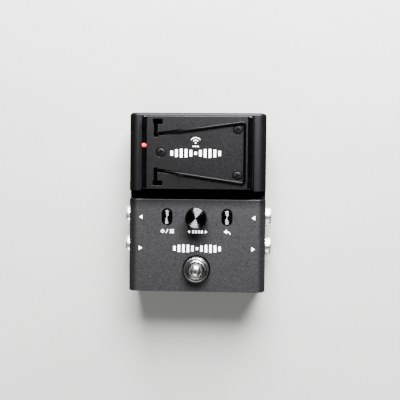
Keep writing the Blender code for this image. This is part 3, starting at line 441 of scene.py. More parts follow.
def cut(target, cutters, operation="DIFFERENCE"):
    """Cuts the cutters from the target, or joins them to it, and uses them up."""
    for cutter in cutters:
        step = target.modifiers.new("cut", "BOOLEAN")
        step.operation, step.solver, step.object = operation, "EXACT", cutter
    settle(target)
    for cutter in cutters:
        bpy.data.objects.remove(cutter)


def settle(obj):
    """Replaces the mesh with the result of its modifiers."""
    bpy.context.view_layer.update()
    graph = bpy.context.evaluated_depsgraph_get()
    mesh = bpy.data.meshes.new_from_object(obj.evaluated_get(graph))
    obj.modifiers.clear()
    obj.data = mesh


def break_edges(obj, width, segments=2, angle=35):
    """Bevels every edge sharper than an angle."""
    bevel = obj.modifiers.new("break edges", "BEVEL")
    bevel.width, bevel.segments = width, segments
    bevel.limit_method, bevel.angle_limit = "ANGLE", math.radians(angle)
    bevel.use_clamp_overlap = False
    bevel.miter_outer = "MITER_ARC"
    settle(obj)


def show(obj, material, body, slot, *nodes, angle=32, flat_sided=True):
    """Gives a finished piece its material and smooth sides, and ties it to the frame.

    Edges sharper than angle stay sharp, and flat_sided keeps flat faces flat beside rounded edges.
    """
    obj.data.materials.clear()
    obj.data.materials.append(material)
    obj.data.shade_smooth()
    obj.data.set_sharp_from_angle(angle=math.radians(angle))
    if flat_sided:
        normals = obj.modifiers.new("normals", "WEIGHTED_NORMAL")
        normals.weight, normals.keep_sharp = 100, True
    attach(obj, body)
    if nodes:
        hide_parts(*nodes)


def coat_faces(obj, material, chosen):
    """Gives the faces whose centre passes chosen(centre) a second material."""
    obj.data.materials.append(material)
    for face in obj.data.polygons:
        if chosen(face.center):
            face.material_index = len(obj.data.materials) - 1


def round_selected(obj, chosen, width, segments):
    """Rounds the edges that chosen(first corner, second corner) picks."""
    shape = bmesh.new()
    shape.from_mesh(obj.data)
    edges = [e for e in shape.edges if chosen(e.verts[0].co, e.verts[1].co)]
    bmesh.ops.bevel(shape, geom=edges, offset=width, segments=segments, profile=0.5,
                    affect="EDGES", clamp_overlap=False)
    shape.to_mesh(obj.data)
    shape.free()


# ---- Carried-over pieces ----
def dress_cad_nodes():
    slots = {s["node"]: s["material_slot"] for s in frame["record"]["subparts"]}
    for name, obj in frame["nodes"].items():
        obj.data.materials.clear()
        obj.data.materials.append(BY_SLOT[slots[name]])


CAD_EDGES = {                   # how far the edges of each CAD piece that can be seen are broken
    "encoder_body": 0.00015, "encoder_shaft": 0.00015, "footswitch_lock_nut": 0.00015,
    "dc_jack": 0.0003, "dc_pin": 0.0001, "usb_port": 0.00008, "dock_tray": 0.00025,
    "display_window": 0.0002, "display_module": 0.0002, "bottom_plate": 0.0003, "rubber_mat": 0.0005,
    "transmitter_case": 0.0003, "transmitter_power_button": 0.0003, "transmitter_jack": 0.0002,
    **{f"jack_{name}": 0.00025 for name in JACKS},
}


def polish(node, width):
    """Breaks the sharp edges of a CAD piece that stays, without touching its own mesh."""
    obj = frame["nodes"][node]
    weld = obj.modifiers.new("weld", "WELD")
    weld.merge_threshold = 0.000002
    flat = obj.modifiers.new("flat faces", "DECIMATE")
    flat.decimate_type, flat.angle_limit = "DISSOLVE", math.radians(0.6)
    bevel = obj.modifiers.new("edges", "BEVEL")
    bevel.width, bevel.segments = width, 2
    bevel.limit_method, bevel.angle_limit = "ANGLE", math.radians(38)
    normals = obj.modifiers.new("normals", "WEIGHTED_NORMAL")
    normals.keep_sharp = False


# ---- Housing ----
SOCKET_HOLE = 0.0050            # radius of each opening in the shell
INLET_HOLE = 0.0047
KNOB_HOLE = 0.0039
FOOTSWITCH_HOLE = 0.0061
USB_HOLE = (0.0040, 0.0098)     # width and height of the pill-shaped ones
KEY_HOLE = (0.0062, 0.0098)
DISPLAY_HALF_X, DISPLAY_HALF_Y = 0.0230, 0.0120


def housing_outer():
    x, z, r = HOUSING_HIGH.x, FACE, EDGE_RADIUS
    section = [(x, HOUSING_LOW.z)] + arc((x - r, z - r), r, 0, 90, 14)
    section += arc((r - x, z - r), r, 90, 180, 14) + [(-x, HOUSING_LOW.z)]
    shell = prism("housing_shell", section, HOUSING_LOW.y, HOUSING_HIGH.y, "y")
    low = HOUSING_LOW.z + 1e-5

    def on_rim(y):
        return lambda a, b: abs(a.y - y) < SAME and abs(b.y - y) < SAME and max(a.z, b.z) > low

    round_selected(shell, on_rim(HOUSING_HIGH.y), REAR_EDGE, 6)
    round_selected(shell, on_rim(HOUSING_LOW.y), FRONT_EDGE, 4)
    return shell


def on_channel_rim(a, b):
    """Whether an edge runs along the control face's upper outline at the finger channel."""
    def on_skin(co):
        x, z = abs(co.x) - (HOUSING_HIGH.x - EDGE_RADIUS), co.z - (FACE - EDGE_RADIUS)
        flat = x <= SAME and abs(co.z - FACE) < SAME
        curved = z > 0 and abs(math.hypot(x, z) - EDGE_RADIUS) < 10 * SAME
        return abs(co.y - CHANNEL[0]) < SAME and (flat or curved)

    return on_skin(a) and on_skin(b)


def hole_through_wall(name, node, radius):
    """A round cutter through the side wall in line with a socket."""
    centre = middle(node)
    side = math.copysign(1, centre.x)
    low, high = sorted((side * (HOUSING_HIGH.x - WALL - OVERCUT), side * (HOUSING_HIGH.x + OVERCUT)))
    return prism(name, circle((centre.y, centre.z), radius), low, high, "x")


def make_housing():
    shell = housing_outer()
    inside_x, inside_y = HOUSING_HIGH.x - WALL, HOUSING_HIGH.y - WALL
    pocket_x, pocket_floor = TRAY_HIGH.x + GAP, TRAY_LOW.z - GAP
    front, rear = CHANNEL
    below, above, past_walls = HOUSING_LOW.z - OVERCUT, FACE + OVERCUT, HOUSING_HIGH.x + OVERCUT
    under_floor, under_face = DOCK_FLOOR_UNDER - OVERCUT, FACE - WALL - OVERCUT
    display = middle("display_window")
    near, far = display.y - DISPLAY_HALF_Y, display.y + DISPLAY_HALF_Y
    cutters = [
        box("lower_hollow", (-inside_x, -inside_y, below), (inside_x, inside_y, DOCK_FLOOR_UNDER)),
        box("face_hollow", (-inside_x, -inside_y, under_floor), (inside_x, front - WALL, FACE - WALL)),
        box("pocket", (-pocket_x, front, pocket_floor), (pocket_x, TRAY_HIGH.y + GAP, above)),
        box("channel", (-past_walls, front, CHANNEL_FLOOR), (past_walls, rear, above)),
        box("display_hole", (-DISPLAY_HALF_X, near, under_floor),
            (DISPLAY_HALF_X, far, pocket_floor + OVERCUT)),
    ]
    cut(shell, cutters)
    round_selected(shell, on_channel_rim, CHANNEL_EDGE, 4)
    holes = [hole_through_wall(f"hole_{name}", f"jack_nut_{name}", SOCKET_HOLE) for name in JACKS]
    inlet, usb = middle("dc_pin"), middle("usb_port")
    wall_y = (inside_y - OVERCUT, HOUSING_HIGH.y + OVERCUT)
    holes.append(prism("inlet_hole", circle((inlet.x, inlet.z), INLET_HOLE), *wall_y, "y"))
    slot = [(usb.x + v, usb.z + u) for u, v in pill(*USB_HOLE, 12)]
    holes.append(prism("usb_hole", slot, *wall_y, "y"))
    for name in ("menu", "back"):
        centre = middle(f"{name}_button")
        outline = [(centre.x + u, centre.y + v) for u, v in pill(*KEY_HOLE)]
        holes.append(prism(f"{name}_hole", outline, under_face, above))
    for node, radius in (("select_knob", KNOB_HOLE), ("footswitch_button", FOOTSWITCH_HOLE)):
        centre = middle(node)
        holes.append(prism(f"{node}_hole", circle((centre.x, centre.y), radius), under_face, above))
    cut(shell, holes)
    break_edges(shell, FINE_EDGE, 2, 50)
    show(shell, PAINT, "receiver", "gunmetal", "housing", angle=50)


# ---- Controls ----
GROOVE = 0.00024                # spacing of the turning marks on the spun tops
GROOVE_DEPTH = 0.000023
KEY_WIDTH, KEY_HEIGHT = 0.0056, 0.0092
KEY_FLANGE = 0.0020             # how much wider a key's flange is than its cap
BARREL_BORE = 0.0046            # of the foot switch
NUT_BORE = 0.0061


def groove(radius):
    """Height of a spun face at a distance from its centre."""
    return GROOVE_DEPTH * (math.cos(2 * math.pi * radius / GROOVE) - 1)


def spun_profile(outer, height):
    """Section of a spun face, from its centre outwards, with six points to a groove."""
    count = round(outer / (GROOVE / 6))
    return [(outer * i / count, height + groove(outer * i / count)) for i in range(count + 1)]


def make_knob():
    centre = middle("select_knob")
    radius = (KNOB_HIGH.x - KNOB_LOW.x) / 2
    top, bottom = KNOB_HIGH.z, KNOB_LOW.z
    face, inner, hollow = radius - 0.0009, radius - 0.0019, bottom + 0.0022
    rim = soften([(face, top), (radius - 0.0002, top - 0.0004), (radius, top - 0.0012),
                  (radius, bottom + 0.0002), (radius - 0.0003, bottom), (inner, bottom),
                  (inner, hollow), (0, hollow)], 0.0002, 3)

    def knurl(angle, height, ring):
        on_side = ring > radius - 0.0001 and bottom + 0.0010 < height < top - 0.0016
        return -0.00012 * (0.5 + 0.5 * math.cos(48 * angle)) if on_side else 0

    knurl_ends = [(radius, top - 0.0017), (radius, top - 0.0018), (radius, bottom + 0.0012),
                  (radius, bottom + 0.0011)]
    profile = spun_profile(face, top) + rim[1:]
    fine = []
    for point, after in zip(profile, profile[1:]):
        fine.append(point)
        if point[0] == radius and after[0] == radius and point[1] > bottom + 0.004:
            fine += knurl_ends
    fine.append(profile[-1])
    knob = turned("select_knob_look", fine, (centre.x, centre.y, 0), steps=192, wobble=knurl)
    show(knob, SPUN_BLACK, "select_dial", "black_anodised", "select_knob", angle=60, flat_sided=False)
    coat_faces(knob, GLOSS_BLACK, lambda c: math.hypot(c.x, c.y) > face or c.z < top - 0.0010)


def pill_reach(angle, half, offset):
    """Distance from a pill's centre to its outline in a direction."""
    c, v = abs(math.cos(angle)), abs(math.sin(angle))
    if half * v <= offset * c:
        return half / c
    return offset * v + math.sqrt(half ** 2 - (offset * c) ** 2)


def key_cap(name, width, height, crown):
    """A pill-shaped cap whose top is turned like the knob's, inside a rounded border."""
    border, spokes, steps = 0.00065, 120, 130
    half, offset = width / 2 - border, (height - width) / 2
    levels = [(i / steps, 0, 0) for i in range(1, steps + 1)]
    levels += [(1, grow, drop) for grow, drop in ((0.0001, 0.00014), (0.0003, 0.00022), (0.0005, 0.00045),
                                                  (border, 0.0009), (border, 0.0040))]
    shape = bmesh.new()
    hub = shape.verts.new((0, 0, crown))
    previous = None
    for share, grow, drop in levels:
        ring = []
        for i in range(spokes):
            angle = 2 * math.pi * i / spokes
            reach = share * pill_reach(angle, half + grow, offset)
            level = crown - drop if grow else crown + groove(reach)
            ring.append(shape.verts.new((reach * math.cos(angle), reach * math.sin(angle), level)))
        for i, corner in enumerate(ring):
            after = ring[(i + 1) % spokes]
            if previous:
                shape.faces.new((previous[i], corner, after, previous[(i + 1) % spokes]))
            else:
                shape.faces.new((hub, corner, after))
        previous = ring
    shape.faces.new(previous)
    return add(f"{name}_key_cap", shape)


def make_key(name):
    low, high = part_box(f"{name}_button")
    centre = (low + high) / 2
    key = key_cap(name, KEY_WIDTH, KEY_HEIGHT, high.z)
    key.location = (centre.x, centre.y, 0)
    show(key, SPUN_BLACK, f"{name}_key", "black_anodised", f"{name}_button", angle=60, flat_sided=False)
    coat_faces(key, GLOSS_BLACK, lambda c: c.z < high.z - 0.00006)

    under, over, stem_radius = 0.0342, 0.0351, 0.0014
    flange = prism(f"{name}_key_flange", pill(KEY_WIDTH + KEY_FLANGE, KEY_HEIGHT + KEY_FLANGE), under, over)
    flange.location = (centre.x, centre.y, 0)
    stem = turned(f"{name}_key_stem", [(0, under), (stem_radius, under), (stem_radius, low.z), (0, low.z)],
                  flange.location, steps=24)
    cut(flange, [stem], "UNION")
    show(flange, BLACK_PLASTIC, f"{name}_key", "black_plastic")


def make_footswitch_rings(spot):
    """The washer on the face and the tapered nut above it."""
    low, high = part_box("footswitch_washer")
    outer = (high.x - low.x) / 2
    ring = [(NUT_BORE, low.z), (NUT_BORE, high.z), (outer, high.z), (outer, low.z),
            (NUT_BORE + 0.0001, low.z)]
    washer = turned("footswitch_washer_look", soften(ring, 0.00025, 3)[:-1], spot)
    show(washer, GLOSS_BLACK, "receiver", "black_plastic", "footswitch_washer", flat_sided=False)

    low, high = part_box("footswitch_nut")
    outer, taper, knurl_end = (high.x - low.x) / 2, 0.0008, high.z - 0.0016
    ring = [(NUT_BORE, low.z), (NUT_BORE, high.z - 0.0003), (NUT_BORE + 0.0003, high.z),
            (outer, high.z - taper), (outer, knurl_end), (outer, knurl_end - 0.0002), (outer, low.z),
            (NUT_BORE + 0.0001, low.z)]

    def knurl(angle, height, radius):
        on_side = radius > outer - 0.00005 and height < knurl_end - 0.0001
        return -0.00014 * (0.5 + 0.5 * math.cos(36 * angle)) if on_side else 0

    nut = turned("footswitch_nut_look", soften(ring, 0.0003, 4)[:-1], spot, steps=216, wobble=knurl)
    show(nut, SATIN_CHROME, "receiver", "chrome", "footswitch_nut", angle=40, flat_sided=False)


def make_footswitch_case(spot):
    """The switch body under the face, with the barrel whose tapered end shows inside the nut."""
    low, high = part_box("footswitch_case")
    radius, bore_radius, shoulder, bore_floor = 0.0058, 0.0024, 0.0300, 0.0220
    case = box("footswitch_case_look", (low.x, low.y, low.z), (high.x, high.y, shoulder))
    break_edges(case, 0.0003)
    cup = [(0, shoulder - 0.0005), (radius, shoulder - 0.0005), (radius, high.z - 0.0007),
           (BARREL_BORE + 0.0002, high.z), (BARREL_BORE, high.z - 0.0003), (BARREL_BORE, shoulder + GAP),
           (0, shoulder + GAP)]
    cut(case, [turned("barrel", soften(cup, 0.0002, 3), spot)], "UNION")
    cut(case, [prism("stem_bore", circle(spot, bore_radius, 24), bore_floor, shoulder + 0.0020)])
    show(case, SATIN_CHROME, "receiver", "steel", "footswitch_case", angle=40)


def make_footswitch_button(spot):
    low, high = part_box("footswitch_button")
    radius, stem_radius, rise, fullness = (high.x - low.x) / 2, 0.0018, 0.0048, 0.82
    crown, shoulder = high.z - rise, 0.0375
    angles = [math.pi / 2 * i / 24 for i in range(25)]
    dome = [(radius * math.sin(a) ** fullness, crown + rise * math.cos(a) ** fullness) for a in angles]
    stem = [(radius, crown - 0.0002), (radius, shoulder), (stem_radius, shoulder), (stem_radius, low.z),
            (0, low.z)]
    button = turned("footswitch_button_look", dome + soften(stem, 0.0003, 3), spot)
    show(button, SATIN_CHROME, "footswitch_plunger", "chrome", "footswitch_button", angle=40,
         flat_sided=False)


def make_footswitch_spring(spot):
    """The return spring around the button's stem, which shortens as the button is pressed."""
    low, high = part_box("footswitch_spring")
    wire, turns, per_turn = 0.00035, 5, 24
    reach, climb = (high.x - low.x) / 2 - wire, high.z - low.z - 2 * wire
    points = []
    for i in range(turns * per_turn + 1):
        turn = i / per_turn
        angle = 2 * math.pi * turn
        points.append((spot[0] + reach * math.cos(angle), spot[1] + reach * math.sin(angle),
                       low.z + wire + climb * turn / turns))
    spring = round_wire("footswitch_spring_look", points, wire, 3)
    show(spring, STEEL, "receiver", "steel", "footswitch_spring", angle=50, flat_sided=False)
    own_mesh(spring)


def make_footswitch():
    centre = middle("footswitch_button")
    spot = (centre.x, centre.y, 0)
    make_footswitch_rings(spot)
    make_footswitch_case(spot)
    make_footswitch_button(spot)
    make_footswitch_spring(spot)


# ---- Sockets ----
def make_jacks():
    """The bright ring round each socket, the socket's own edges and the contact deep inside it."""
    for name in JACKS:
        low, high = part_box(f"jack_nut_{name}")
        side, axis = (-1, "-x") if name.startswith("left") else (1, "x")
        near = min(abs(low.x), abs(high.x))
        outer, inner, reach = (high.y - low.y) / 2, 0.0049, high.x - low.x
        ring = soften([(inner, 0), (inner, reach - 0.0002), (inner + 0.0003, reach), (outer - 0.0008, reach),
                       (outer - 0.0003, reach - 0.0004), (outer, reach - 0.0014), (outer, 0),
                       (inner + 0.0001, 0)], 0.0006, 5)

        def flutes(angle, height, radius):
            on_side = radius > outer - 0.0001 and height < reach - 0.0020
            return -0.0001 * (0.5 + 0.5 * math.cos(30 * angle)) if on_side else 0

        centre = (low + high) / 2
        nut = turned(f"jack_ferrule_{name}", ring[:-1], (side * near, centre.y, centre.z), axis,
                     steps=180, wobble=flutes)
        show(nut, NICKEL, "receiver", "chrome", f"jack_nut_{name}", angle=40, flat_sided=False)
        contact = [(0, 0), (0.0011, 0), (0.0014, 0.0004), (0.0014, 0.0012), (0, 0.0012)]
        tip = turned(f"jack_tip_contact_{name}", contact, (side * 0.0163, centre.y, centre.z), axis, steps=24)
        show(tip, GOLD, "receiver", "gold")


# ---- Transmitter ----
CLIP_RADIUS = 0.00075
SEAT_HALF = CLIP_RADIUS + 0.00025     # half width of the clip's grooves in the cover
SCREW_SEAT = 0.0028                   # radii of the cover's openings for a screw
SCREW_BORE = 0.00115
CLIP_REST = COVER_TOP + CLIP_RADIUS + GAP
SCREWS = [middle(f"transmitter_screw_{i}") for i in (1, 2, 3)]
CLIP_LOW, CLIP_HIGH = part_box("clip_wire")
PIVOT_X = CLIP_LOW.x + CLIP_RADIUS
PIVOT_Z = CLIP_LOW.z + CLIP_RADIUS
REACH_X = CLIP_HIGH.x - CLIP_RADIUS
ROOT_Y, FREE_Y = 0.0102, 0.0174
SLOPE = math.atan2(FREE_Y - ROOT_Y, REACH_X - PIVOT_X)


def cover_outline():
    """Section of the cover: plate, rounded long edges and a short skirt on each side."""
    half, r, wall = (COVER_HIGH.y - COVER_LOW.y) / 2, 0.0004, 0.0020
    low, top, under = COVER_LOW.z, COVER_TOP, COVER_TOP - 0.0034
    outer = [(half, low)] + arc((half - r, top - r), r, 0, 90, 8)
    outer += arc((r - half, top - r), r, 90, 180, 8) + [(-half, low)]
    inner = [(wall - half, low), (wall - half, under), (half - wall, under), (half - wall, low)]
    return [(TX_MIDDLE + u, v) for u, v in outer + inner]


def clip_seats():
    """Cutters for the pockets, grooves and pivot holes of the clip's two ends."""
    floor, above = PIVOT_Z - CLIP_RADIUS - GAP, COVER_TOP + OVERCUT
    slot_reach, slot_middle = 0.0082, PIVOT_X + 0.0076
    made = []
    for side in (1, -1):
        def block(name, low_x, high_x, near, far):
            low, high = sorted((TX_MIDDLE + side * near, TX_MIDDLE + side * far))
            return box(f"{name}_{side}", (low_x, low, floor), (high_x, high, above))

        made.append(block("pocket", -0.0254, -0.0200, 0.0161, 0.0192))
        made.append(block("groove", PIVOT_X - SEAT_HALF, PIVOT_X + SEAT_HALF, 0.0088, 0.0165))
        slot = prism(f"slot_{side}", rectangle(-slot_reach, -SEAT_HALF, slot_reach, SEAT_HALF), floor, above)
        slot.location = (slot_middle, TX_MIDDLE + side * (ROOT_Y + 0.0078 * math.tan(SLOPE)), 0)
        slot.rotation_euler.z = side * SLOPE
        made.append(slot)
        ends = sorted((TX_MIDDLE + side * 0.0190, TX_MIDDLE + side * 0.0204))
        made.append(prism(f"pivot_{side}", circle((PIVOT_X, PIVOT_Z), SEAT_HALF, 24), *ends, "y"))
    return made


def make_cover():
    cover = prism("transmitter_cover_look", cover_outline(), COVER_LOW.x, COVER_HIGH.x, "x")
    cut(cover, clip_seats())
    seats = [prism(f"seat_{i}", circle((s.x, s.y), SCREW_SEAT), COVER_TOP - 0.0012, COVER_TOP + OVERCUT)
             for i, s in enumerate(SCREWS)]
    seats += [prism(f"bore_{i}", circle((s.x, s.y), SCREW_BORE, 24), 0.0390, COVER_TOP)
              for i, s in enumerate(SCREWS)]
    cut(cover, seats)
    break_edges(cover, 0.00012, 2, 40)
    show(cover, TX_PAINT, "transmitter", "tx_gunmetal", "transmitter_cover", angle=50)

    # Painted shade: gloss black on the faces inside the clip's pockets and grooves and the screw seats stands
    # in for the shade in these recesses.
    def painted_dark_recess(c):
        inside = abs(c.x) < COVER_HIGH.x - 0.001 and abs(c.y - TX_MIDDLE) < 0.0206
        return inside and PIVOT_Z - 0.0018 < c.z < COVER_TOP - 0.0001

    coat_faces(cover, GLOSS_BLACK, painted_dark_recess)


def open_left_cap(cap, xs):
    """Opens the left end cap for the input socket, the power key and the lamp."""
    jack, key, lamp = (middle(f"transmitter_{part}") for part in ("jack", "power_button", "led"))
    socket_radius, key_radius, notch, notch_floor = 0.0026, 0.0023, 0.0013, 0.0390
    cut(cap, [
        prism("socket_hole", circle((jack.y, jack.z), socket_radius), *xs, "x"),
        prism("key_hole", circle((key.y, key.z), key_radius), *xs, "x"),
        box("lamp_notch", (xs[0], lamp.y - notch, notch_floor), (xs[1], lamp.y + notch, COVER_TOP + OVERCUT)),
    ])
    break_edges(cap, 0.00015, 2, 50)


def make_end_caps():
    for side, name in ((-1, "left"), (1, "right")):
        low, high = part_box(f"transmitter_end_cap_{name}")
        inner, outer = (high.x, low.x) if side < 0 else (low.x, high.x)
        top, bottom, r = high.z, low.z, 0.0017
        plan = [(inner, high.y), (inner, low.y)]
        around = arc((outer - side * r, low.y + r), r, 270, 360, 8)
        around += arc((outer - side * r, high.y - r), r, 0, 90, 8)
        if side < 0:
            around = [(2 * (outer + r) - u, v) for u, v in around]
        cap = prism(f"end_cap_{name}", plan + around, bottom, top)

        def on_rim(a, b):
            level = abs(a.z - b.z) < SAME and (abs(a.z - top) < SAME or abs(a.z - bottom) < SAME)
            return level and not (abs(a.x - inner) < SAME and abs(b.x - inner) < SAME)

        round_selected(cap, on_rim, 0.0006, 5)
        if side < 0:
            open_left_cap(cap, (low.x - OVERCUT, high.x + OVERCUT))
        show(cap, GLOSS_BLACK, "transmitter", "gloss_black", f"transmitter_end_cap_{name}", angle=40)


def recessed_screw(name, centre, face, radius, depth, head, length, shank, axis="z"):
    """A screw whose domed head has a cross recess; face is its head's height above centre."""
    arm_reach, arm_half = radius * 0.52, radius * 0.11
    profile = soften([(0, face + 0.00012), (radius * 0.6, face + 0.00006), (radius, face - 0.0002),
                      (radius, face - head), (shank, face - head), (shank, face - length),
                      (0, face - length)], 0.0002, 3)
    screw = turned(name, profile, (0, 0, 0), axis, steps=48)
    way = -1 if axis == "-z" else 1
    for turn_by in (0, math.pi / 2):
        arm = prism("arm", rectangle(-arm_reach, -arm_half, arm_reach, arm_half), way * (face - depth),
                    way * (face + OVERCUT))
        arm.rotation_euler.z = turn_by + 0.4
        cut(screw, [arm])
    break_edges(screw, 0.00006, 1, 50)
    screw.location = centre
    return screw


def make_screws():
    for i, spot in enumerate(SCREWS, 1):
        low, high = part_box(f"transmitter_screw_{i}")
        screw = recessed_screw(f"cover_screw_{i}", (spot.x, spot.y, high.z), face=-0.0001, radius=0.00262,
                               depth=0.0008, head=0.0006, length=high.z - low.z - 0.0001, shank=0.00075)
        show(screw, SCREW_BLACK, "transmitter", "black_steel", f"transmitter_screw_{i}", angle=40)
    for i in (1, 2, 3, 4):
        low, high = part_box(f"bottom_screw_{i}")
        spot = (low + high) / 2
        screw = recessed_screw(f"base_screw_{i}", (spot.x, spot.y, low.z), face=-0.0001, radius=0.0027,
                               depth=0.0007, head=0.0004, length=high.z - low.z, shank=0.0008, axis="-z")
        show(screw, STEEL, "receiver", "steel", f"bottom_screw_{i}", angle=40)


def clip_path():
    """Half of the clip wire's centreline, from its hidden end to the middle of its free end."""
    bend, rise_to = 0.0018, -0.0098
    plan = [(PIVOT_X, 0.0201), (PIVOT_X, 0.0158)]
    inner = (PIVOT_X + bend, ROOT_Y + bend * (1 + math.tan(SLOPE)))
    plan += arc(inner, bend, 180, 270 + math.degrees(SLOPE), 14)
    run = [inner[0] + (rise_to - inner[0]) * i / 12 for i in range(1, 13)]
    plan += [(x, inner[1] - bend + (x - inner[0]) * math.tan(SLOPE)) for x in run]
    outer = (REACH_X - bend, FREE_Y - bend * (1 + math.tan(SLOPE) / 2))
    plan += arc(outer, bend, 90 + math.degrees(SLOPE), 0, 14) + [(REACH_X, 0)]
    points = []
    for x, y in plan:
        share = min(max((x - inner[0]) / (rise_to - inner[0]), 0), 1)
        eased = share * share * (3 - 2 * share) * 0.25 + share * 0.75
        points.append(Vector((x, TX_MIDDLE + y, PIVOT_Z + (CLIP_REST - PIVOT_Z) * eased)))
    return points


def make_clip():
    half = clip_path()
    mirrored = [Vector((p.x, 2 * TX_MIDDLE - p.y, p.z)) for p in reversed(half[:-1])]
    wire = round_wire("belt_clip_wire", half + mirrored, CLIP_RADIUS, 6)
    show(wire, BLACK_STEEL, "belt_clip", "black_steel", "clip_wire", angle=50, flat_sided=False)


def make_lamp():
    low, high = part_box("transmitter_led")
    centre = (low + high) / 2
    lens_half, pipe_half = 0.0010, 0.0007
    lens = box("lamp_lens", (low.x, centre.y - lens_half, low.z),
               (low.x + 0.0020, centre.y + lens_half, high.z))
    break_edges(lens, 0.0005, 4, 40)
    pipe = box("lamp_pipe", (low.x + 0.0014, centre.y - pipe_half, low.z + 0.0001),
               (high.x, centre.y + pipe_half, low.z + 0.0009))
    cut(lens, [pipe], "UNION")
    show(lens, LAMP, "transmitter", "led_red", "transmitter_led")


# ---- Display ----
def make_screen_marks():
    """What the dock's display shows once the transmitter is lifted: signal bars and a battery."""
    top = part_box("display_module")[1].z
    centre = middle("display_window")
    near, far = top + 0.00002, top + 0.00008
    marks = []
    rows, row_pitch, bars, bar_pitch, bar_width = 2, 0.0090, 12, 0.0019, 0.0012
    for row in range(rows):
        y = centre.y + 0.0029 - row_pitch * row
        for i in range(bars):
            height = 0.0012 + 0.0004 * ((i * 5 + row * 3) % 7)
            x = centre.x - 0.0165 + bar_pitch * i
            marks.append(box("bar", (x, y, near), (x + bar_width, y + height, far)))

    def block(name, left, right, half, low, high):
        return box(name, (centre.x + left, centre.y - half, low), (centre.x + right, centre.y + half, high))

    battery = block("battery", 0.0095, 0.0170, 0.0022, near, far)
    cut(battery, [block("battery_hollow", 0.0100, 0.0165, 0.0017, top, top + 0.0001)])
    charge = block("charge", 0.0104, 0.0145, 0.0013, near, far)
    for i, mark in enumerate(marks + [battery, charge]):
        mark.name = f"screen_mark_{i + 1}"
        show(mark, SCREEN_LIGHT, "receiver", "led_red")


# ---- Printed signs ----
INK_DEPTH = 0.00004
INK_LIFT = 0.00001              # keeps a sign's underside clear of its face


def printed(name, outlines, x, y, height, body):
    """Flat white shapes printed on a face, at a place on it, in ink that carries a painted glow."""
    for i, outline in enumerate(outlines, 1):
        place = [(x + u, y + v) for u, v in outline]
        part = prism(f"{name}_{i}", place, height + INK_LIFT, height + INK_LIFT + INK_DEPTH)
        show(part, INK_GLOWING, body, "chrome")


def bar(u0, v0, u1, v1, width):
    """A straight stroke between two points."""
    along = Vector((u1 - u0, v1 - v0)).normalized() * (width / 2)
    side = Vector((-along.y, along.x))
    return [(u0 - side.x, v0 - side.y), (u1 - side.x, v1 - side.y), (u1 + side.x, v1 + side.y),
            (u0 + side.x, v0 + side.y)]


def stroke_arc(radius, start, end, width, centre=(0, 0), steps=20):
    outer = arc(centre, radius + width / 2, start, end, steps)
    inner = arc(centre, radius - width / 2, end, start, steps)
    return outer + inner


def level_mark(width, height):
    """A generic sound-level mark: a row of bars that swells and falls."""
    count = 11
    pitch = width / (count - 0.45)
    shapes = []
    for i in range(count):
        swell = 0.34 + 0.66 * abs(math.sin(math.pi * (i + 0.5) / count * 2.0)) ** 0.8
        tall = height * swell / 2
        left = -width / 2 + pitch * i
        shapes.append(rectangle(left, -tall, left + pitch * 0.55, tall))
    return shapes


def power_menu_sign():
    """A power symbol, a slash and a three-line menu symbol."""
    thick = 0.0004
    shapes = [stroke_arc(0.0008, 125, 415, thick, (-0.0029, 0)), bar(-0.0029, 0.0002, -0.0029, 0.0012, thick),
              bar(-0.0010, -0.0011, 0.0002, 0.0012, thick)]
    return shapes + [rectangle(0.0013, v - thick / 2, 0.0037, v + thick / 2) for v in (-0.0009, 0, 0.0009)]


def turn_sign():
    """Two arrowheads with a row of blocks between them: turn either way to choose."""
    heads = [[(way * 0.0057, 0), (way * 0.0044, 0.0010), (way * 0.0044, -0.0010)] for way in (-1, 1)]
    places = [0.0017 * (i - 1.5) for i in range(4)]
    return heads + [rectangle(u - 0.00055, -0.0009, u + 0.00055, 0.0009) for u in places]


def return_sign():
    """An arrow that comes back to the left."""
    return [[(-0.0024, 0.0003), (-0.0006, 0.0016), (-0.0006, -0.0010)],
            stroke_arc(0.0016, 0, 100, 0.0005, (-0.0003, -0.0013))]


def radio_sign():
    """Radio waves above a dot, and a short row of channel ticks below."""
    waves = [stroke_arc(r, 38, 142, 0.00045) for r in (0.0017, 0.0032)]
    ticks = [rectangle(u - 0.00045, -0.0022, u + 0.00045, -0.0015) for u in (-0.0013, 0, 0.0013)]
    return waves + [circle((0, 0.0001), 0.00045, 20)] + ticks


def make_signs():
    controls_y = middle("menu_button").y
    label_y = controls_y - 0.0083
    menu_x, back_x, knob_x = (middle(node).x for node in ("menu_button", "back_button", "select_knob"))
    printed("power_sign", power_menu_sign(), menu_x + 0.0004, label_y, FACE, "receiver")
    printed("turn_sign", turn_sign(), knob_x + 0.0004, label_y - 0.0002, FACE, "receiver")
    printed("return_sign", return_sign(), back_x + 0.0006, label_y - 0.0003, FACE, "receiver")

    for name in JACKS:
        centre = middle(f"jack_nut_{name}")
        way = -1 if name.endswith("rear") else 1
        x = math.copysign(HOUSING_HIGH.x - 0.0071, centre.x)
        arrow = [(way * 0.0010, 0), (-way * 0.0010, 0.0013), (-way * 0.0010, -0.0013)]
        printed(f"arrow_{name}", [arrow], x, centre.y, FACE, "receiver")

    printed("face_mark", level_mark(0.0278, 0.0047), 0.0002, controls_y - 0.0183, FACE, "receiver")
    mark_x = -0.0008
    mark = level_mark(0.0290, 0.0050)
    printed("transmitter_mark", mark, mark_x, TX_MIDDLE - 0.0004, COVER_TOP, "transmitter")
    printed("radio_sign", radio_sign(), mark_x, TX_MIDDLE + 0.0054, COVER_TOP, "transmitter")


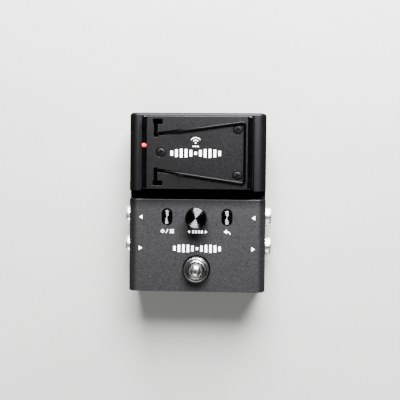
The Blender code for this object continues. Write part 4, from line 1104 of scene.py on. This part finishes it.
# ---- Light, floor and camera ----
def area_light(name, place, target, width, height, power):
    data = bpy.data.lights.new(name, "AREA")
    data.shape = "RECTANGLE"
    data.size, data.size_y, data.energy = width, height, power
    obj = bpy.data.objects.new(name, data)
    bpy.context.scene.collection.objects.link(obj)
    obj.location = place
    obj.rotation_euler = (Vector(target) - Vector(place)).to_track_quat("-Z", "Y").to_euler()


def make_stage():
    plain = Shader("pale_floor", (0.42, 0.42, 0.41), 0.75)
    plain.vary_colour(plain.noise(0.05, 4), (0.44, 0.44, 0.43))
    shape = bmesh.new()
    bmesh.ops.create_grid(shape, x_segments=1, y_segments=1, size=3)
    floor = add("floor", shape)
    floor.data.materials.append(plain.material)


def make_lights():
    world = bpy.data.worlds.new("studio")
    bpy.context.scene.world = world
    world.use_nodes = True
    background = world.node_tree.nodes["Background"]
    background.inputs["Color"].default_value = (0.9, 0.93, 1.0, 1)
    background.inputs["Strength"].default_value = 0.03
    area_light("key", (0.085, 0.500, 0.560), (0, 0, 0.02), 0.52, 0.40, 27.0)
    area_light("rim", (0.060, 0.620, 0.190), (0, 0, 0.03), 0.50, 0.10, 12.0)
    area_light("front", (-0.085, -0.60, 0.45), (0, 0, 0.02), 0.50, 0.30, 3.5)


def make_camera():
    """A camera that looks almost straight down, with the object's front at the bottom of its view."""
    data = bpy.data.cameras.new("camera")
    data.sensor_width, data.lens = 36, 65
    data.clip_start = 0.01
    camera = bpy.data.objects.new("camera", data)
    bpy.context.scene.collection.objects.link(camera)
    place = Vector((0.0210, 0.0148, FACE + 0.420))
    aim = Vector((0.0017, 0.0015, FACE))
    camera.location = place
    look = (aim - place).normalized()
    right = look.cross(Vector((1, 0, 0)).cross(look)).normalized()
    up = right.cross(look).normalized()
    turn = Matrix((right, up, -look)).transposed()
    roll = math.radians(0.65)
    camera.rotation_euler = (turn @ Matrix.Rotation(roll, 3, "Z")).to_euler()
    bpy.context.scene.camera = camera
    bpy.context.scene.view_settings.look = "AgX - Medium High Contrast"


# ---- Everything ----
make_camera()
dress_cad_nodes()
for cad_node, edge in CAD_EDGES.items():
    polish(cad_node, edge)
make_housing()
make_knob()
make_key("menu")
make_key("back")
make_footswitch()
make_jacks()
make_cover()
make_end_caps()
make_screws()
make_clip()
make_lamp()
make_screen_marks()
make_signs()
make_stage()
make_lights()
